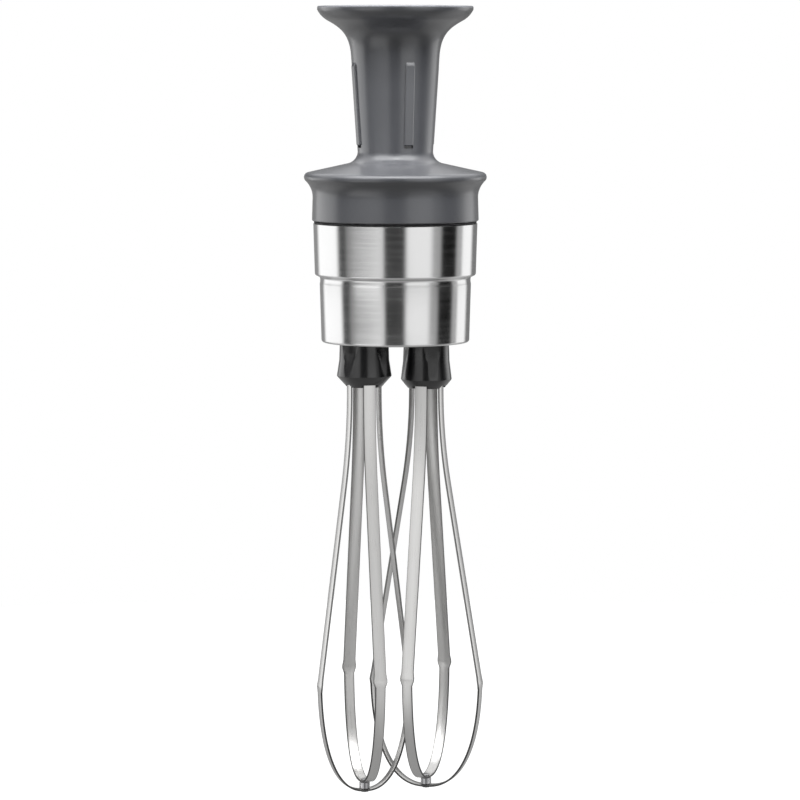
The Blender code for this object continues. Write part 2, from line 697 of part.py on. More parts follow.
def countersink(name, place):
    """A cutter with room for a screw's head and shank."""
    outline = [
        (0.0, SCREW_TIP + OVERCUT),
        (SCREW_RADIUS + SEAT_GAP, SCREW_TIP + OVERCUT),
        (SCREW_RADIUS + SEAT_GAP, CUP_BOTTOM + SCREW_HEAD_HEIGHT + SEAT_GAP),
        (SCREW_HEAD_RADIUS + SEAT_GAP, CUP_BOTTOM),
        (SCREW_HEAD_RADIUS + SEAT_GAP, CUP_BOTTOM - OVERCUT),
        (0.0, CUP_BOTTOM - OVERCUT),
    ]
    cutter = turned(name, outline, steps=HOLE_STEPS, closed=False)
    cutter.location = (place[0], place[1], 0.0)
    return cutter


# Gearbox case, cover and screws


def lower_bores():
    """Centre, shaft radius and name of each bore in the case and the cover."""
    return [
        ("left_spindle", (SPINDLE_X["left"], 0.0), SPINDLE_RADIUS),
        ("right_spindle", (SPINDLE_X["right"], 0.0), SPINDLE_RADIUS),
        ("layshaft", (LAYSHAFT_X, LAYSHAFT_Y), LAYSHAFT_RADIUS),
    ]


def make_case():
    """The lower gearbox moulding: a deep tray with a flange that sits on the cup's step."""
    outline = [
        (CASE_RADIUS - CASE_WALL, CASE_TOP),
        (CASE_FLANGE_RADIUS, CASE_TOP),
        (CASE_FLANGE_RADIUS, FLANGE_BOTTOM + CASE_EDGE),
        (CASE_FLANGE_RADIUS - CASE_EDGE, FLANGE_BOTTOM),
        (CASE_RADIUS, FLANGE_BOTTOM),
        (CASE_RADIUS, CASE_BOTTOM + CASE_EDGE),
        (CASE_RADIUS - CASE_EDGE, CASE_BOTTOM),
        (0.0, CASE_BOTTOM),
        (0.0, CASE_INSIDE_BOTTOM),
        (CASE_RADIUS - CASE_WALL, CASE_INSIDE_BOTTOM),
    ]
    case = turned("gearbox_case", outline, "case_plastic", steps=CASE_STEPS)
    added = []
    holes = []
    for name, place, radius in lower_bores():
        bush = radius + SEAT_GAP + BUSH_WALL + SEAT_GAP
        added.append(rod(f"{name}_boss", bush + BOSS_WALL, CASE_BOTTOM + ROOTED,
                         LOWER_BUSH_TOP, steps=BORE_STEPS, place=place))
        if name == "layshaft":
            foot = LOWER_BUSH_BOTTOM - SEAT_GAP
        else:
            foot = CASE_BOTTOM - OVERCUT
            seal = radius + SPINDLE_SEAL_WALL + 2.0 * SEAT_GAP
            holes.append(rod(f"{name}_seal_bore", seal, foot, SPINDLE_SEAL_TOP,
                             steps=BORE_STEPS, place=place))
        holes.append(rod(f"{name}_bore", bush, foot, LOWER_BUSH_TOP + OVERCUT,
                         steps=BORE_STEPS, place=place))
    for i, place in enumerate(screw_places()):
        added.append(rod(f"case_pillar_{i + 1}", PILLAR_RADIUS, CASE_BOTTOM + ROOTED, CASE_TOP,
                         steps=HOLE_STEPS, place=place))
        holes.append(countersink(f"case_hole_{i + 1}", place))
    combine(case, added, "UNION")
    combine(case, holes, "DIFFERENCE")
    settle(case)


def make_cover():
    """The plate that closes the gearbox, with a boss round each upper bearing."""
    cover = rod("gearbox_cover", CASE_FLANGE_RADIUS, COVER_BOTTOM, COVER_TOP, "case_plastic",
                steps=CASE_STEPS)
    pocket = LOWER_BEARING_RADIUS + SEAT_GAP
    over = COVER_TOP + OVERCUT
    under = COVER_BOSS_BOTTOM - OVERCUT
    added = [rod("bearing_boss", pocket + BOSS_WALL, COVER_BOSS_BOTTOM, COVER_TOP - ROOTED,
                 steps=BORE_STEPS)]
    holes = [rod("bearing_pocket", pocket, LOWER_POCKET_BOTTOM, over, steps=BORE_STEPS),
             rod("shaft_hole", SHAFT_RADIUS + SHAFT_HOLE_GAP, under, over, steps=BORE_STEPS)]
    for name, place, radius in lower_bores():
        bush = upper_bush_radius(radius) + SEAT_GAP
        added.append(rod(f"{name}_upper_boss", bush + BOSS_WALL, COVER_BOSS_BOTTOM,
                         COVER_TOP - ROOTED, steps=BORE_STEPS, place=place))
        holes.append(rod(f"{name}_upper_bore", bush, under, over, steps=BORE_STEPS, place=place))
    for i, place in enumerate(screw_places()):
        holes.append(rod(f"cover_hole_{i + 1}", SCREW_RADIUS + SEAT_GAP, under, over,
                         steps=HOLE_STEPS, place=place))
    combine(cover, added, "UNION")
    combine(cover, holes, "DIFFERENCE")
    settle(cover)


def make_screws():
    """Countersunk tie screws, each with a hexagon socket."""
    outline = [
        (0.0, SCREW_TIP),
        (SCREW_RADIUS - SCREW_POINT, SCREW_TIP),
        (SCREW_RADIUS, SCREW_TIP - SCREW_POINT),
        (SCREW_RADIUS, CUP_BOTTOM + SCREW_HEAD_HEIGHT),
        (SCREW_HEAD_RADIUS, CUP_BOTTOM),
        (0.0, CUP_BOTTOM),
    ]
    for i, place in enumerate(screw_places()):
        screw = turned(f"tie_screw_{i + 1}", outline, "machined_steel", steps=SCREW_STEPS, closed=False)
        screw.location = (place[0], place[1], 0.0)
        drive = rod(f"screw_drive_{i + 1}", SCREW_DRIVE_RADIUS, CUP_BOTTOM - OVERCUT,
                    CUP_BOTTOM + SCREW_DRIVE_DEPTH, steps=6, place=place)
        combine(screw, [drive], "DIFFERENCE")
        settle(screw)


# Gears


def tooth_angles(teeth, module):
    """Radii and half angles of one straight-sided tooth cut from an involute."""
    pitch = module * teeth / 2.0
    base = pitch * math.cos(PRESSURE_ANGLE)
    half_pitch = (math.pi * module / 2.0 - BACKLASH * module) / (2.0 * pitch)
    involute = math.tan(PRESSURE_ANGLE) - PRESSURE_ANGLE
    points = []
    for radius in (pitch - DEDENDUM * module, pitch + ADDENDUM * module):
        if radius > base:
            slope = math.acos(base / radius)
            points.append((radius, half_pitch + involute - (math.tan(slope) - slope)))
        else:
            points.append((radius, half_pitch + involute))
    return points


def gear_outline(teeth, module, turn):
    """Points round a gear, four for each tooth. One tooth's middle lies at the turn."""
    (root, root_half), (tip, tip_half) = tooth_angles(teeth, module)
    points = []
    for i in range(teeth):
        middle = turn + math.tau * i / teeth
        for radius, angle in ((root, -root_half), (tip, -tip_half), (tip, tip_half), (root, root_half)):
            points.append((radius * math.cos(middle + angle), radius * math.sin(middle + angle)))
    return points


def make_gear(name, teeth, module, bore, bottom, top, turn, finish, parent, web=True):
    """A spur gear with a round bore and, on a large one, a recessed web on top."""
    outlines = [gear_outline(teeth, module, turn), circle(bore, SMALL_STEPS)]
    gear = flat_shape(name, outlines, bottom, top, finish, parent)
    if web:
        root = module * teeth / 2.0 - DEDENDUM * module
        recess = ring(f"{name}_recess", bore + GEAR_HUB_WALL, root - RIM_WALL, top - WEB_RECESS,
                      top + OVERCUT, None, parent, steps=SMALL_STEPS)
        combine(gear, [recess], "DIFFERENCE")
    settle(gear)


def mesh_turn(direction, teeth, driver_turn, driver_teeth):
    """The turn that puts a gap of a gear on the tooth line of its driver."""
    return (direction + math.pi + math.pi / teeth
            + (direction - driver_turn) * driver_teeth / teeth)


def make_train(input_axis, layshaft_axis, spindle_axes):
    final_line = math.atan2(LAYSHAFT_Y, LAYSHAFT_X - SPINDLE_X["left"])
    first_line = math.atan2(-LAYSHAFT_Y, -LAYSHAFT_X)
    spindle_bore = SPINDLE_RADIUS + SEAT_GAP
    layshaft_bore = LAYSHAFT_RADIUS + SEAT_GAP
    make_gear("left_sync_gear", SYNC_TEETH, SYNC_MODULE, spindle_bore, SYNC_BOTTOM, SYNC_TOP,
              0.0, "gear_plastic", spindle_axes["left"])
    make_gear("right_sync_gear", SYNC_TEETH, SYNC_MODULE, spindle_bore, SYNC_BOTTOM, SYNC_TOP,
              mesh_turn(0.0, SYNC_TEETH, 0.0, SYNC_TEETH), "gear_plastic", spindle_axes["right"])
    make_gear("final_wheel", FINAL_WHEEL_TEETH, FINAL_MODULE, spindle_bore, FINAL_BOTTOM,
              FINAL_TOP, 0.0, "gear_plastic", spindle_axes["left"])
    make_gear("layshaft_pinion", FINAL_PINION_TEETH, FINAL_MODULE, layshaft_bore, FINAL_BOTTOM,
              FINAL_TOP, mesh_turn(final_line, FINAL_PINION_TEETH, 0.0, FINAL_WHEEL_TEETH),
              "machined_steel", layshaft_axis, web=False)
    make_gear("layshaft_wheel", FIRST_WHEEL_TEETH, FIRST_MODULE, layshaft_bore, FIRST_BOTTOM,
              FIRST_TOP, 0.0, "gear_plastic", layshaft_axis)
    make_gear("input_pinion", FIRST_PINION_TEETH, FIRST_MODULE, PINION_BORE,
              FIRST_BOTTOM, FIRST_TOP,
              mesh_turn(first_line, FIRST_PINION_TEETH, 0.0, FIRST_WHEEL_TEETH),
              "machined_steel", input_axis, web=False)


# Shafts, bearings, bushes and seals


def upper_bush_radius(radius):
    """Outer radius of an upper bush, whose journal is no thicker than the spindle's."""
    return min(radius, JOURNAL_RADIUS) + SEAT_GAP + BUSH_WALL


def bearing(name, radius, bottom, top):
    """A shielded ball bearing as one closed ring, its upper shield set back."""
    inner = SHAFT_RADIUS + SEAT_GAP
    shoulder = (radius - inner) / 4.0
    outline = [
        (inner, top),
        (inner + shoulder, top),
        (inner + shoulder, top - BEARING_GROOVE),
        (radius - shoulder, top - BEARING_GROOVE),
        (radius - shoulder, top),
        (radius, top),
        (radius, bottom),
        (inner, bottom),
    ]
    settle(turned(name, outline, "machined_steel", steps=BORE_STEPS))


def lip_seal(name, inner, outer, bottom, top, parent=None):
    """A rubber seal with a lip that thins towards its shaft."""
    middle = (bottom + top) / 2.0
    outline = [
        (inner + SEAL_LIP, top),
        (outer, top),
        (outer, bottom),
        (inner + SEAL_LIP, bottom),
        (inner, middle - SEAL_LIP / 2.0),
        (inner, middle + SEAL_LIP / 2.0),
    ]
    return turned(name, outline, "seal_rubber", parent, steps=BORE_STEPS)


def make_bearings():
    bearing("input_bearing_upper", UPPER_BEARING_RADIUS, UPPER_BEARING_BOTTOM, UPPER_BEARING_TOP)
    bearing("input_bearing_lower", LOWER_BEARING_RADIUS, LOWER_BEARING_BOTTOM,
            LOWER_BEARING_BOTTOM + LOWER_BEARING_WIDTH)
    settle(lip_seal("input_seal", SHAFT_RADIUS + SEAT_GAP, UPPER_BEARING_RADIUS, SEAL_BOTTOM,
                    SOCKET_FLOOR))
    for name, place, radius in lower_bores():
        lower = ring(f"{name}_bush_lower", radius + SEAT_GAP, radius + SEAT_GAP + BUSH_WALL,
                     LOWER_BUSH_BOTTOM, LOWER_BUSH_TOP, "bush_bronze")
        journal = min(radius, JOURNAL_RADIUS)
        upper = ring(f"{name}_bush_upper", journal + SEAT_GAP, upper_bush_radius(radius),
                     UPPER_BUSH_BOTTOM, UPPER_BUSH_BOTTOM + UPPER_BUSH_HEIGHT, "bush_bronze")
        pieces = [lower, upper]
        if name != "layshaft":
            seal = lip_seal(f"{name}_seal", radius + SEAT_GAP, radius + SPINDLE_SEAL_WALL + SEAT_GAP,
                            CASE_BOTTOM, SPINDLE_SEAL_TOP - SEAT_GAP)
            pieces.append(seal)
        for piece in pieces:
            piece.location = (place[0], place[1], 0.0)
            settle(piece)


def make_input(axis):
    """The input shaft with its coupling and retaining clip."""
    shoulder = FIRST_TOP + SEAT_GAP
    outline = [
        (0.0, SHAFT_TOP - SEAT_GAP),
        (SHAFT_RADIUS - CHAMFER, SHAFT_TOP - SEAT_GAP),
        (SHAFT_RADIUS, SHAFT_TOP - SEAT_GAP - CHAMFER),
        (SHAFT_RADIUS, shoulder),
        (PINION_SEAT, shoulder),
        (PINION_SEAT, SHAFT_BOTTOM),
        (0.0, SHAFT_BOTTOM),
    ]
    settle(turned("input_shaft", outline, "machined_steel", axis, SMALL_STEPS, closed=False))
    ring_outer = SHAFT_RADIUS + SEAT_GAP + CLIP_WIDTH
    settle(ring("shaft_clip", SHAFT_RADIUS + SEAT_GAP, ring_outer, CLIP_TOP - CLIP_THICKNESS,
                CLIP_TOP, "machined_steel", axis))
    bore = SHAFT_RADIUS + SEAT_GAP
    cup = [
        (COUPLING_SOCKET_RADIUS, COUPLING_TOP),
        (COUPLING_RADIUS - COUPLING_EDGE, COUPLING_TOP),
        (COUPLING_RADIUS, COUPLING_TOP - COUPLING_EDGE),
        (COUPLING_RADIUS, COUPLING_BOTTOM),
        (bore, COUPLING_BOTTOM),
        (bore, SHAFT_TOP),
        (COUPLING_SOCKET_RADIUS, SHAFT_TOP),
    ]
    coupling = turned("drive_coupling", cup, "hub_plastic", axis, BORE_STEPS)
    splines = []
    reach = COUPLING_SOCKET_RADIUS + (SPLINE_ROOTED - SPLINE_DEPTH) / 2.0
    foot = SHAFT_TOP - SPLINE_ROOTED
    head = COUPLING_TOP - COUPLING_EDGE
    for i in range(COUPLING_SPLINES):
        turn = Matrix.Rotation(math.tau * i / COUPLING_SPLINES, 4, "Z")
        place = turn @ Matrix.Translation((reach, 0.0, (foot + head) / 2.0))
        size = (SPLINE_DEPTH + SPLINE_ROOTED, SPLINE_WIDTH, head - foot)
        splines.append(block(f"spline_{i + 1}", size, place, parent=axis))
    combine(coupling, splines, "UNION")
    settle(coupling)


def make_layshaft(axis):
    outline = [
        (0.0, SPINDLE_TOP),
        (LAYSHAFT_RADIUS - CHAMFER, SPINDLE_TOP),
        (LAYSHAFT_RADIUS, SPINDLE_TOP - CHAMFER),
        (LAYSHAFT_RADIUS, FIRST_BOTTOM - SEAT_GAP),
        (LAYSHAFT_RADIUS + SHAFT_COLLAR, FIRST_BOTTOM - SEAT_GAP),
        (LAYSHAFT_RADIUS + SHAFT_COLLAR, FINAL_TOP + SEAT_GAP),
        (LAYSHAFT_RADIUS, FINAL_TOP + SEAT_GAP),
        (LAYSHAFT_RADIUS, LOWER_BUSH_BOTTOM),
        (0.0, LOWER_BUSH_BOTTOM),
    ]
    settle(turned("layshaft", outline, "machined_steel", axis, SMALL_STEPS, closed=False))


def make_spindle(side, axis):
    """A spindle with a hexagon socket that takes the whisk's shank."""
    shoulder = FINAL_TOP if side == "left" else SYNC_TOP
    collar = SPINDLE_RADIUS + SHAFT_COLLAR
    outline = [
        (0.0, SPINDLE_TOP),
        (JOURNAL_RADIUS - CHAMFER, SPINDLE_TOP),
        (JOURNAL_RADIUS, SPINDLE_TOP - CHAMFER),
        (JOURNAL_RADIUS, JOURNAL_BOTTOM),
        (collar, JOURNAL_BOTTOM),
        (collar, shoulder + SEAT_GAP),
        (SPINDLE_RADIUS, shoulder + SEAT_GAP),
        (SPINDLE_RADIUS, SPINDLE_BOTTOM),
        (0.0, SPINDLE_BOTTOM),
    ]
    spindle = turned(f"{side}_spindle", outline, "machined_steel", axis, BORE_STEPS, closed=False)
    socket = rod(f"{side}_socket", SHANK_RADIUS + SHANK_FIT, SPINDLE_BOTTOM - OVERCUT, SOCKET_TOP,
                 parent=axis, steps=6)
    combine(spindle, [socket], "DIFFERENCE")
    settle(spindle)


# Whisks


def loop_path(bulge, kink, tip, top):
    """Half a loop as (radius, height, is below the kink), from the hub to the tip."""
    middle = (BEND_TOP + BEND_BOTTOM) / 2.0
    slope = (bulge - LEG_RADIUS) / (middle - kink)
    points = [(LEG_RADIUS, top, False)]
    bend_end = LEG_RADIUS + slope * (middle - BEND_BOTTOM)
    for i in range(BEND_STEPS + 1):
        t = i / BEND_STEPS
        radius = (1 - t) ** 2 * LEG_RADIUS + 2 * t * (1 - t) * LEG_RADIUS + t * t * bend_end
        height = (1 - t) ** 2 * BEND_TOP + 2 * t * (1 - t) * middle + t * t * BEND_BOTTOM
        points.append((radius, height, False))
    for below in (EAR_LENGTH + EAR_BLEND, EAR_LENGTH, 0.0):
        points.append((bulge - slope * below, kink + below, False))
    power = 2.0 / BOW_EXPONENT
    width = bulge / math.cos(BOW_START) ** power
    depth = (kink - tip) / (1.0 - math.sin(BOW_START) ** power)
    equator = tip + depth
    for i in range(1, BOW_STEPS + 1):
        angle = BOW_START + (math.pi / 2.0 - BOW_START) * i / BOW_STEPS
        radius = width * max(math.cos(angle), 0.0) ** power
        points.append((radius, equator - depth * math.sin(angle) ** power, True))
    points[-1] = (0.0, tip, True)
    return points


def band_width(height, kink, is_bow):
    """Width of the band: plain above, with small ears at the kink, narrower in the bow."""
    if is_bow:
        return BOW_WIDTH
    if height < kink + EAR_LENGTH + EAR_BLEND / 2.0:
        return EAR_WIDTH
    return BAND_WIDTH


def make_loop(name, bulge, kink, tip, top, turn, axis):
    """A whisk loop: one flat strip that runs down one side, round the tip and up the other."""
    half = loop_path(bulge, kink, tip, top)
    stations = [(radius, height, band_width(height, kink, bow)) for radius, height, bow in half]
    mirrored = [(-radius, height, width) for radius, height, width in reversed(stations[:-1])]
    spin = Matrix.Rotation(turn, 4, "Z")
    shape = bmesh.new()
    rows = []
    for across, height, width in stations + mirrored:
        edges = (Vector((across, -width / 2.0, height)), Vector((across, width / 2.0, height)))
        rows.append([shape.verts.new(spin @ corner) for corner in edges])
    for upper, lower in zip(rows, rows[1:]):
        shape.faces.new((upper[0], upper[1], lower[1], lower[0]))
    mesh = bpy.data.meshes.new(name)
    shape.to_mesh(mesh)
    shape.free()
    loop = link_piece(name, mesh, "band_steel", axis)
    wall = loop.modifiers.new("Thickness", "SOLIDIFY")
    wall.thickness = BAND_THICKNESS
    wall.offset = 0.0
    wall.use_even_offset = True
    hole = rod(f"{name}_hole", RIVET_STEM + SEAT_GAP, tip - BAND_THICKNESS, tip + BAND_THICKNESS,
               parent=axis, steps=HOLE_STEPS)
    combine(loop, [hole], "DIFFERENCE")
    settle(loop)


def make_rivet(name, axis):
    """The tip rivet: a spacer between the two loops with a headed stem through both."""
    lift = BAND_THICKNESS / 2.0 + SEAT_GAP
    outline = [
        (0.0, INNER_TIP + lift + RIVET_HEAD),
        (RIVET_HEAD_RADIUS, INNER_TIP + lift + RIVET_EDGE),
        (RIVET_HEAD_RADIUS, INNER_TIP + lift),
        (RIVET_STEM, INNER_TIP + lift),
        (RIVET_STEM, INNER_TIP - lift),
        (RIVET_RADIUS, INNER_TIP - lift),
        (RIVET_RADIUS, OUTER_TIP + lift),
        (RIVET_STEM, OUTER_TIP + lift),
        (RIVET_STEM, OUTER_TIP - lift),
        (RIVET_HEAD_RADIUS, OUTER_TIP - lift),
        (RIVET_HEAD_RADIUS, OUTER_TIP - lift - RIVET_EDGE),
        (0.0, OUTER_TIP - lift - RIVET_HEAD),
    ]
    settle(turned(name, outline, "machined_steel", axis, HOLE_STEPS, closed=False))


def make_hub(side, whisk, axis):
    """The moulded hub: a flared grip with hollow flutes, and a slot for each band."""
    outline = [
        (0.0, HUB_TOP),
        (whisk["hub_top"] - CHAMFER, HUB_TOP),
        (whisk["hub_top"], HUB_TOP - CHAMFER),
        (whisk["hub_top"] + HUB_BELLY, (HUB_TOP + whisk["hub_widest_height"]) / 2.0),
        (whisk["hub_widest"], whisk["hub_widest_height"]),
        (whisk["hub_widest"] - HUB_EDGE_WIDTH, whisk["hub_widest_height"] - HUB_EDGE_HEIGHT),
        (whisk["hub_foot"] + HUB_FOOT_WIDTH, whisk["hub_bottom"] + HUB_FOOT_HEIGHT),
        (whisk["hub_foot"], whisk["hub_bottom"]),
        (0.0, whisk["hub_bottom"]),
    ]
    hub = turned(f"{side}_hub", outline, "hub_plastic", axis, HUB_STEPS, closed=False)
    cutters = [rod(f"{side}_hub_bore", SHANK_RADIUS + SHANK_FIT, whisk["hub_bottom"] + SHANK_FLOOR,
                   HUB_TOP + OVERCUT, parent=axis, steps=6)]
    flute_top = whisk["hub_top"] - FLUTE_TOP_DEPTH
    flute_foot = whisk["hub_widest"] + FLUTE_RUNOUT
    flute_height = HUB_TOP - whisk["hub_widest_height"]
    lean = math.atan2(flute_foot - flute_top, flute_height)
    for i in range(FLUTE_COUNT):
        angle = whisk["turn"] + whisk["flute_turn"] + math.tau * (i + 0.5) / FLUTE_COUNT
        place = (Matrix.Rotation(angle, 4, "Z")
                 @ Matrix.Translation((FLUTE_RADIUS + (flute_top + flute_foot) / 2.0, 0.0,
                                       HUB_TOP - flute_height / 2.0))
                 @ Matrix.Rotation(-lean, 4, "Y"))
        flute = rod(f"{side}_flute_{i + 1}", FLUTE_RADIUS, -flute_height, flute_height,
                    parent=axis, steps=FLUTE_STEPS)
        flute.matrix_local = place
        cutters.append(flute)
    slot_height = LEG_ANCHOR + OVERCUT
    slot = (BAND_THICKNESS + 2.0 * SEAT_GAP, BAND_WIDTH + 2.0 * SEAT_GAP, slot_height)
    slot_middle = whisk["hub_bottom"] - OVERCUT + slot_height / 2.0
    notch = (NOTCH_REACH, NOTCH_WIDTH, 2.0 * NOTCH_HEIGHT)
    start = LEG_RADIUS + NOTCH_REACH / 2.0
    for i in range(LEG_COUNT):
        spin = Matrix.Rotation(whisk["turn"] + math.tau * i / LEG_COUNT, 4, "Z")
        cutters.append(block(f"{side}_slot_{i + 1}", slot,
                             spin @ Matrix.Translation((LEG_RADIUS, 0.0, slot_middle)),
                             parent=axis))
        cutters.append(block(f"{side}_notch_{i + 1}", notch,
                             spin @ Matrix.Translation((start, 0.0, whisk["hub_bottom"])),
                             parent=axis))
    combine(hub, cutters, "DIFFERENCE")
    settle(hub)


def make_whisk(side, axis):
    whisk = WHISKS[side]
    make_hub(side, whisk, axis)
    settle(rod(f"{side}_shank", SHANK_RADIUS, whisk["hub_bottom"] + SHANK_FLOOR + SEAT_GAP,
               SHANK_TOP, "machined_steel", axis, steps=6))
    top = whisk["hub_bottom"] + LEG_ANCHOR - SEAT_GAP
    make_loop(f"{side}_outer_loop", whisk["bulge"], OUTER_KINK, OUTER_TIP, top, whisk["turn"], axis)
    make_loop(f"{side}_inner_loop", whisk["bulge"], INNER_KINK, INNER_TIP, top,
              whisk["turn"] + math.pi / 2.0, axis)
    make_rivet(f"{side}_tip_rivet", axis)


def main():
    input_axis = make_axis("input_axis")
    layshaft_axis = make_axis("layshaft_axis", LAYSHAFT_X, LAYSHAFT_Y)
    spindle_axes = {side: make_axis(f"{side}_whisk_axis", x) for side, x in SPINDLE_X.items()}
    bpy.context.view_layer.update()
    make_head()
    make_cup()
    make_gasket()
    make_case()
    make_cover()
    make_screws()
    make_bearings()
    make_input(input_axis)
    make_layshaft(layshaft_axis)
    make_train(input_axis, layshaft_axis, spindle_axes)
    for side in WHISKS:
        make_spindle(side, spindle_axes[side])
        make_whisk(side, spindle_axes[side])


main()
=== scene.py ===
"""Finishes, fine shapes and studio for the whisk attachment of an immersion blender.

Everything is in metres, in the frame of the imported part: +Z is up and the origin is the middle
of the head's top rim. The two whisk spindles stand on the X axis, the left one at -X.
"""

from __future__ import annotations

import json
import logging
import math
from dataclasses import dataclass
from enum import Enum
from typing import Sequence

import bmesh
import bpy
from mathutils import Matrix, Vector

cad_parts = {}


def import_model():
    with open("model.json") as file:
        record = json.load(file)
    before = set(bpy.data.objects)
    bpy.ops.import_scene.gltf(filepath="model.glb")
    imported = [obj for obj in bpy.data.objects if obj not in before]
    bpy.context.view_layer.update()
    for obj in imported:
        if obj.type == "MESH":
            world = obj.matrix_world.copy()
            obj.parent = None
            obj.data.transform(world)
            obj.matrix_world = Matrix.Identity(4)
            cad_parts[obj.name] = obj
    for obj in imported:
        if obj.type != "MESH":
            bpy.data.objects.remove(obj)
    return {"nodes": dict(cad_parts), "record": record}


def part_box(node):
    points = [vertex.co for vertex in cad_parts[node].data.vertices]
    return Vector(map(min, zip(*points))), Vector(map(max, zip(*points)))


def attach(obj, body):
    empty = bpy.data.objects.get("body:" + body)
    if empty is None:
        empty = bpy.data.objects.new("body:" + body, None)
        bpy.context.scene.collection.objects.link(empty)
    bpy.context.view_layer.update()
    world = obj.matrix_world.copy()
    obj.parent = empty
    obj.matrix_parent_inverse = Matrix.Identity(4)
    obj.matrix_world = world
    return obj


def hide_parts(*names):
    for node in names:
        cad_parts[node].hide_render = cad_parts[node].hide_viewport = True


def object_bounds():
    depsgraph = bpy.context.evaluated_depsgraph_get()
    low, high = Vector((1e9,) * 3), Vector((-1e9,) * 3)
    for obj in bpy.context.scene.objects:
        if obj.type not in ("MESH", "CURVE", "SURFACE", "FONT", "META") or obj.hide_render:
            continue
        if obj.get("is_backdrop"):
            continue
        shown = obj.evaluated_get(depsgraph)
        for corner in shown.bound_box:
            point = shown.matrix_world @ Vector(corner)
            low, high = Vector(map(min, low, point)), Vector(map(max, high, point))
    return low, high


LOG = logging.getLogger("whisk_attachment")

MM = 0.001

# Facets round the axis of the head and cup, of a hub, of a small piece, and of a screw or rivet
ROUND_STEPS = 128
HUB_STEPS = 96
SMALL_STEPS = 64
SCREW_STEPS = 48

# Steps of a profile's arc or bend, where nothing else is said
PROFILE_STEPS = 8

# Where faces meet at more than this, the edge stays sharp
SHARP_ANGLE = math.radians(32.0)

# A profile's point nearer to the axis than this lies on it
ON_AXIS = 1e-7

# The room between two pieces that touch
GAP = 0.3 * MM

# How far a cutter reaches past the face that it opens
PAST = 1.0 * MM

Pair = tuple[float, float]
Triple = tuple[float, float, float]
Settings = dict[str, object]
Sockets = dict[str | int, object]

# A linear colour
RGB = Triple

# Depth, width and height
Size = Triple

# Where a screen or flag starts and ends, in degrees from the camera, and its brightness
Flag = Triple

# A ring of screens and flags
Row = tuple[Flag, ...]

# A place on a profile, as distance from the axis and height
Point = Pair

# How far a curve's two handles stand from its start and its end
Handles = tuple[Point, Point]


class Side(Enum):
    """The two whisks."""

    LEFT = "left"
    RIGHT = "right"


class Lay(Enum):
    """The way the brush or tool marks of a metal run."""

    AROUND = "around"
    ALONG = "along"


class Wire:
    """An output socket that takes part in Python expressions."""

    def __init__(self, graph: Graph, socket: bpy.types.NodeSocket) -> None:
        """Hold a socket of a graph."""
        self.graph = graph
        self.socket = socket

    def __add__(self, other: Wire | float) -> Wire:
        """The sum."""
        return self.graph.math("ADD", self, other)

    def __sub__(self, other: Wire | float) -> Wire:
        """The difference."""
        return self.graph.math("SUBTRACT", self, other)

    def __rsub__(self, other: float) -> Wire:
        """The difference from a number."""
        return self.graph.math("SUBTRACT", other, self)

    def __mul__(self, other: Wire | float) -> Wire:
        """The product."""
        return self.graph.math("MULTIPLY", self, other)

    def __truediv__(self, other: Wire | float) -> Wire:
        """The quotient."""
        return self.graph.math("DIVIDE", self, other)

    def __rtruediv__(self, other: float) -> Wire:
        """The quotient of a number and this value."""
        return self.graph.math("DIVIDE", other, self)

    __radd__ = __add__
    __rmul__ = __mul__

    def clamped(self) -> Wire:
        """The value, kept between 0 and 1."""
        return self.graph.math("ADD", self, 0.0, clamp=True)

    def swing(self, reach: float) -> Wire:
        """Noise from 0 to 1 as a swing about zero, this far from end to end."""
        return (self - 0.5) * reach

    def ease(self, low: float, high: float) -> Wire:
        """A smooth step.

        Args:
            low: Where the step starts.
            high: Where it ends.

        Returns:
            0 below low, 1 above high.
        """
        sockets = {0: self, 1: low, 2: high}
        return self.graph.out("ShaderNodeMapRange", {"interpolation_type": "SMOOTHSTEP"}, sockets)


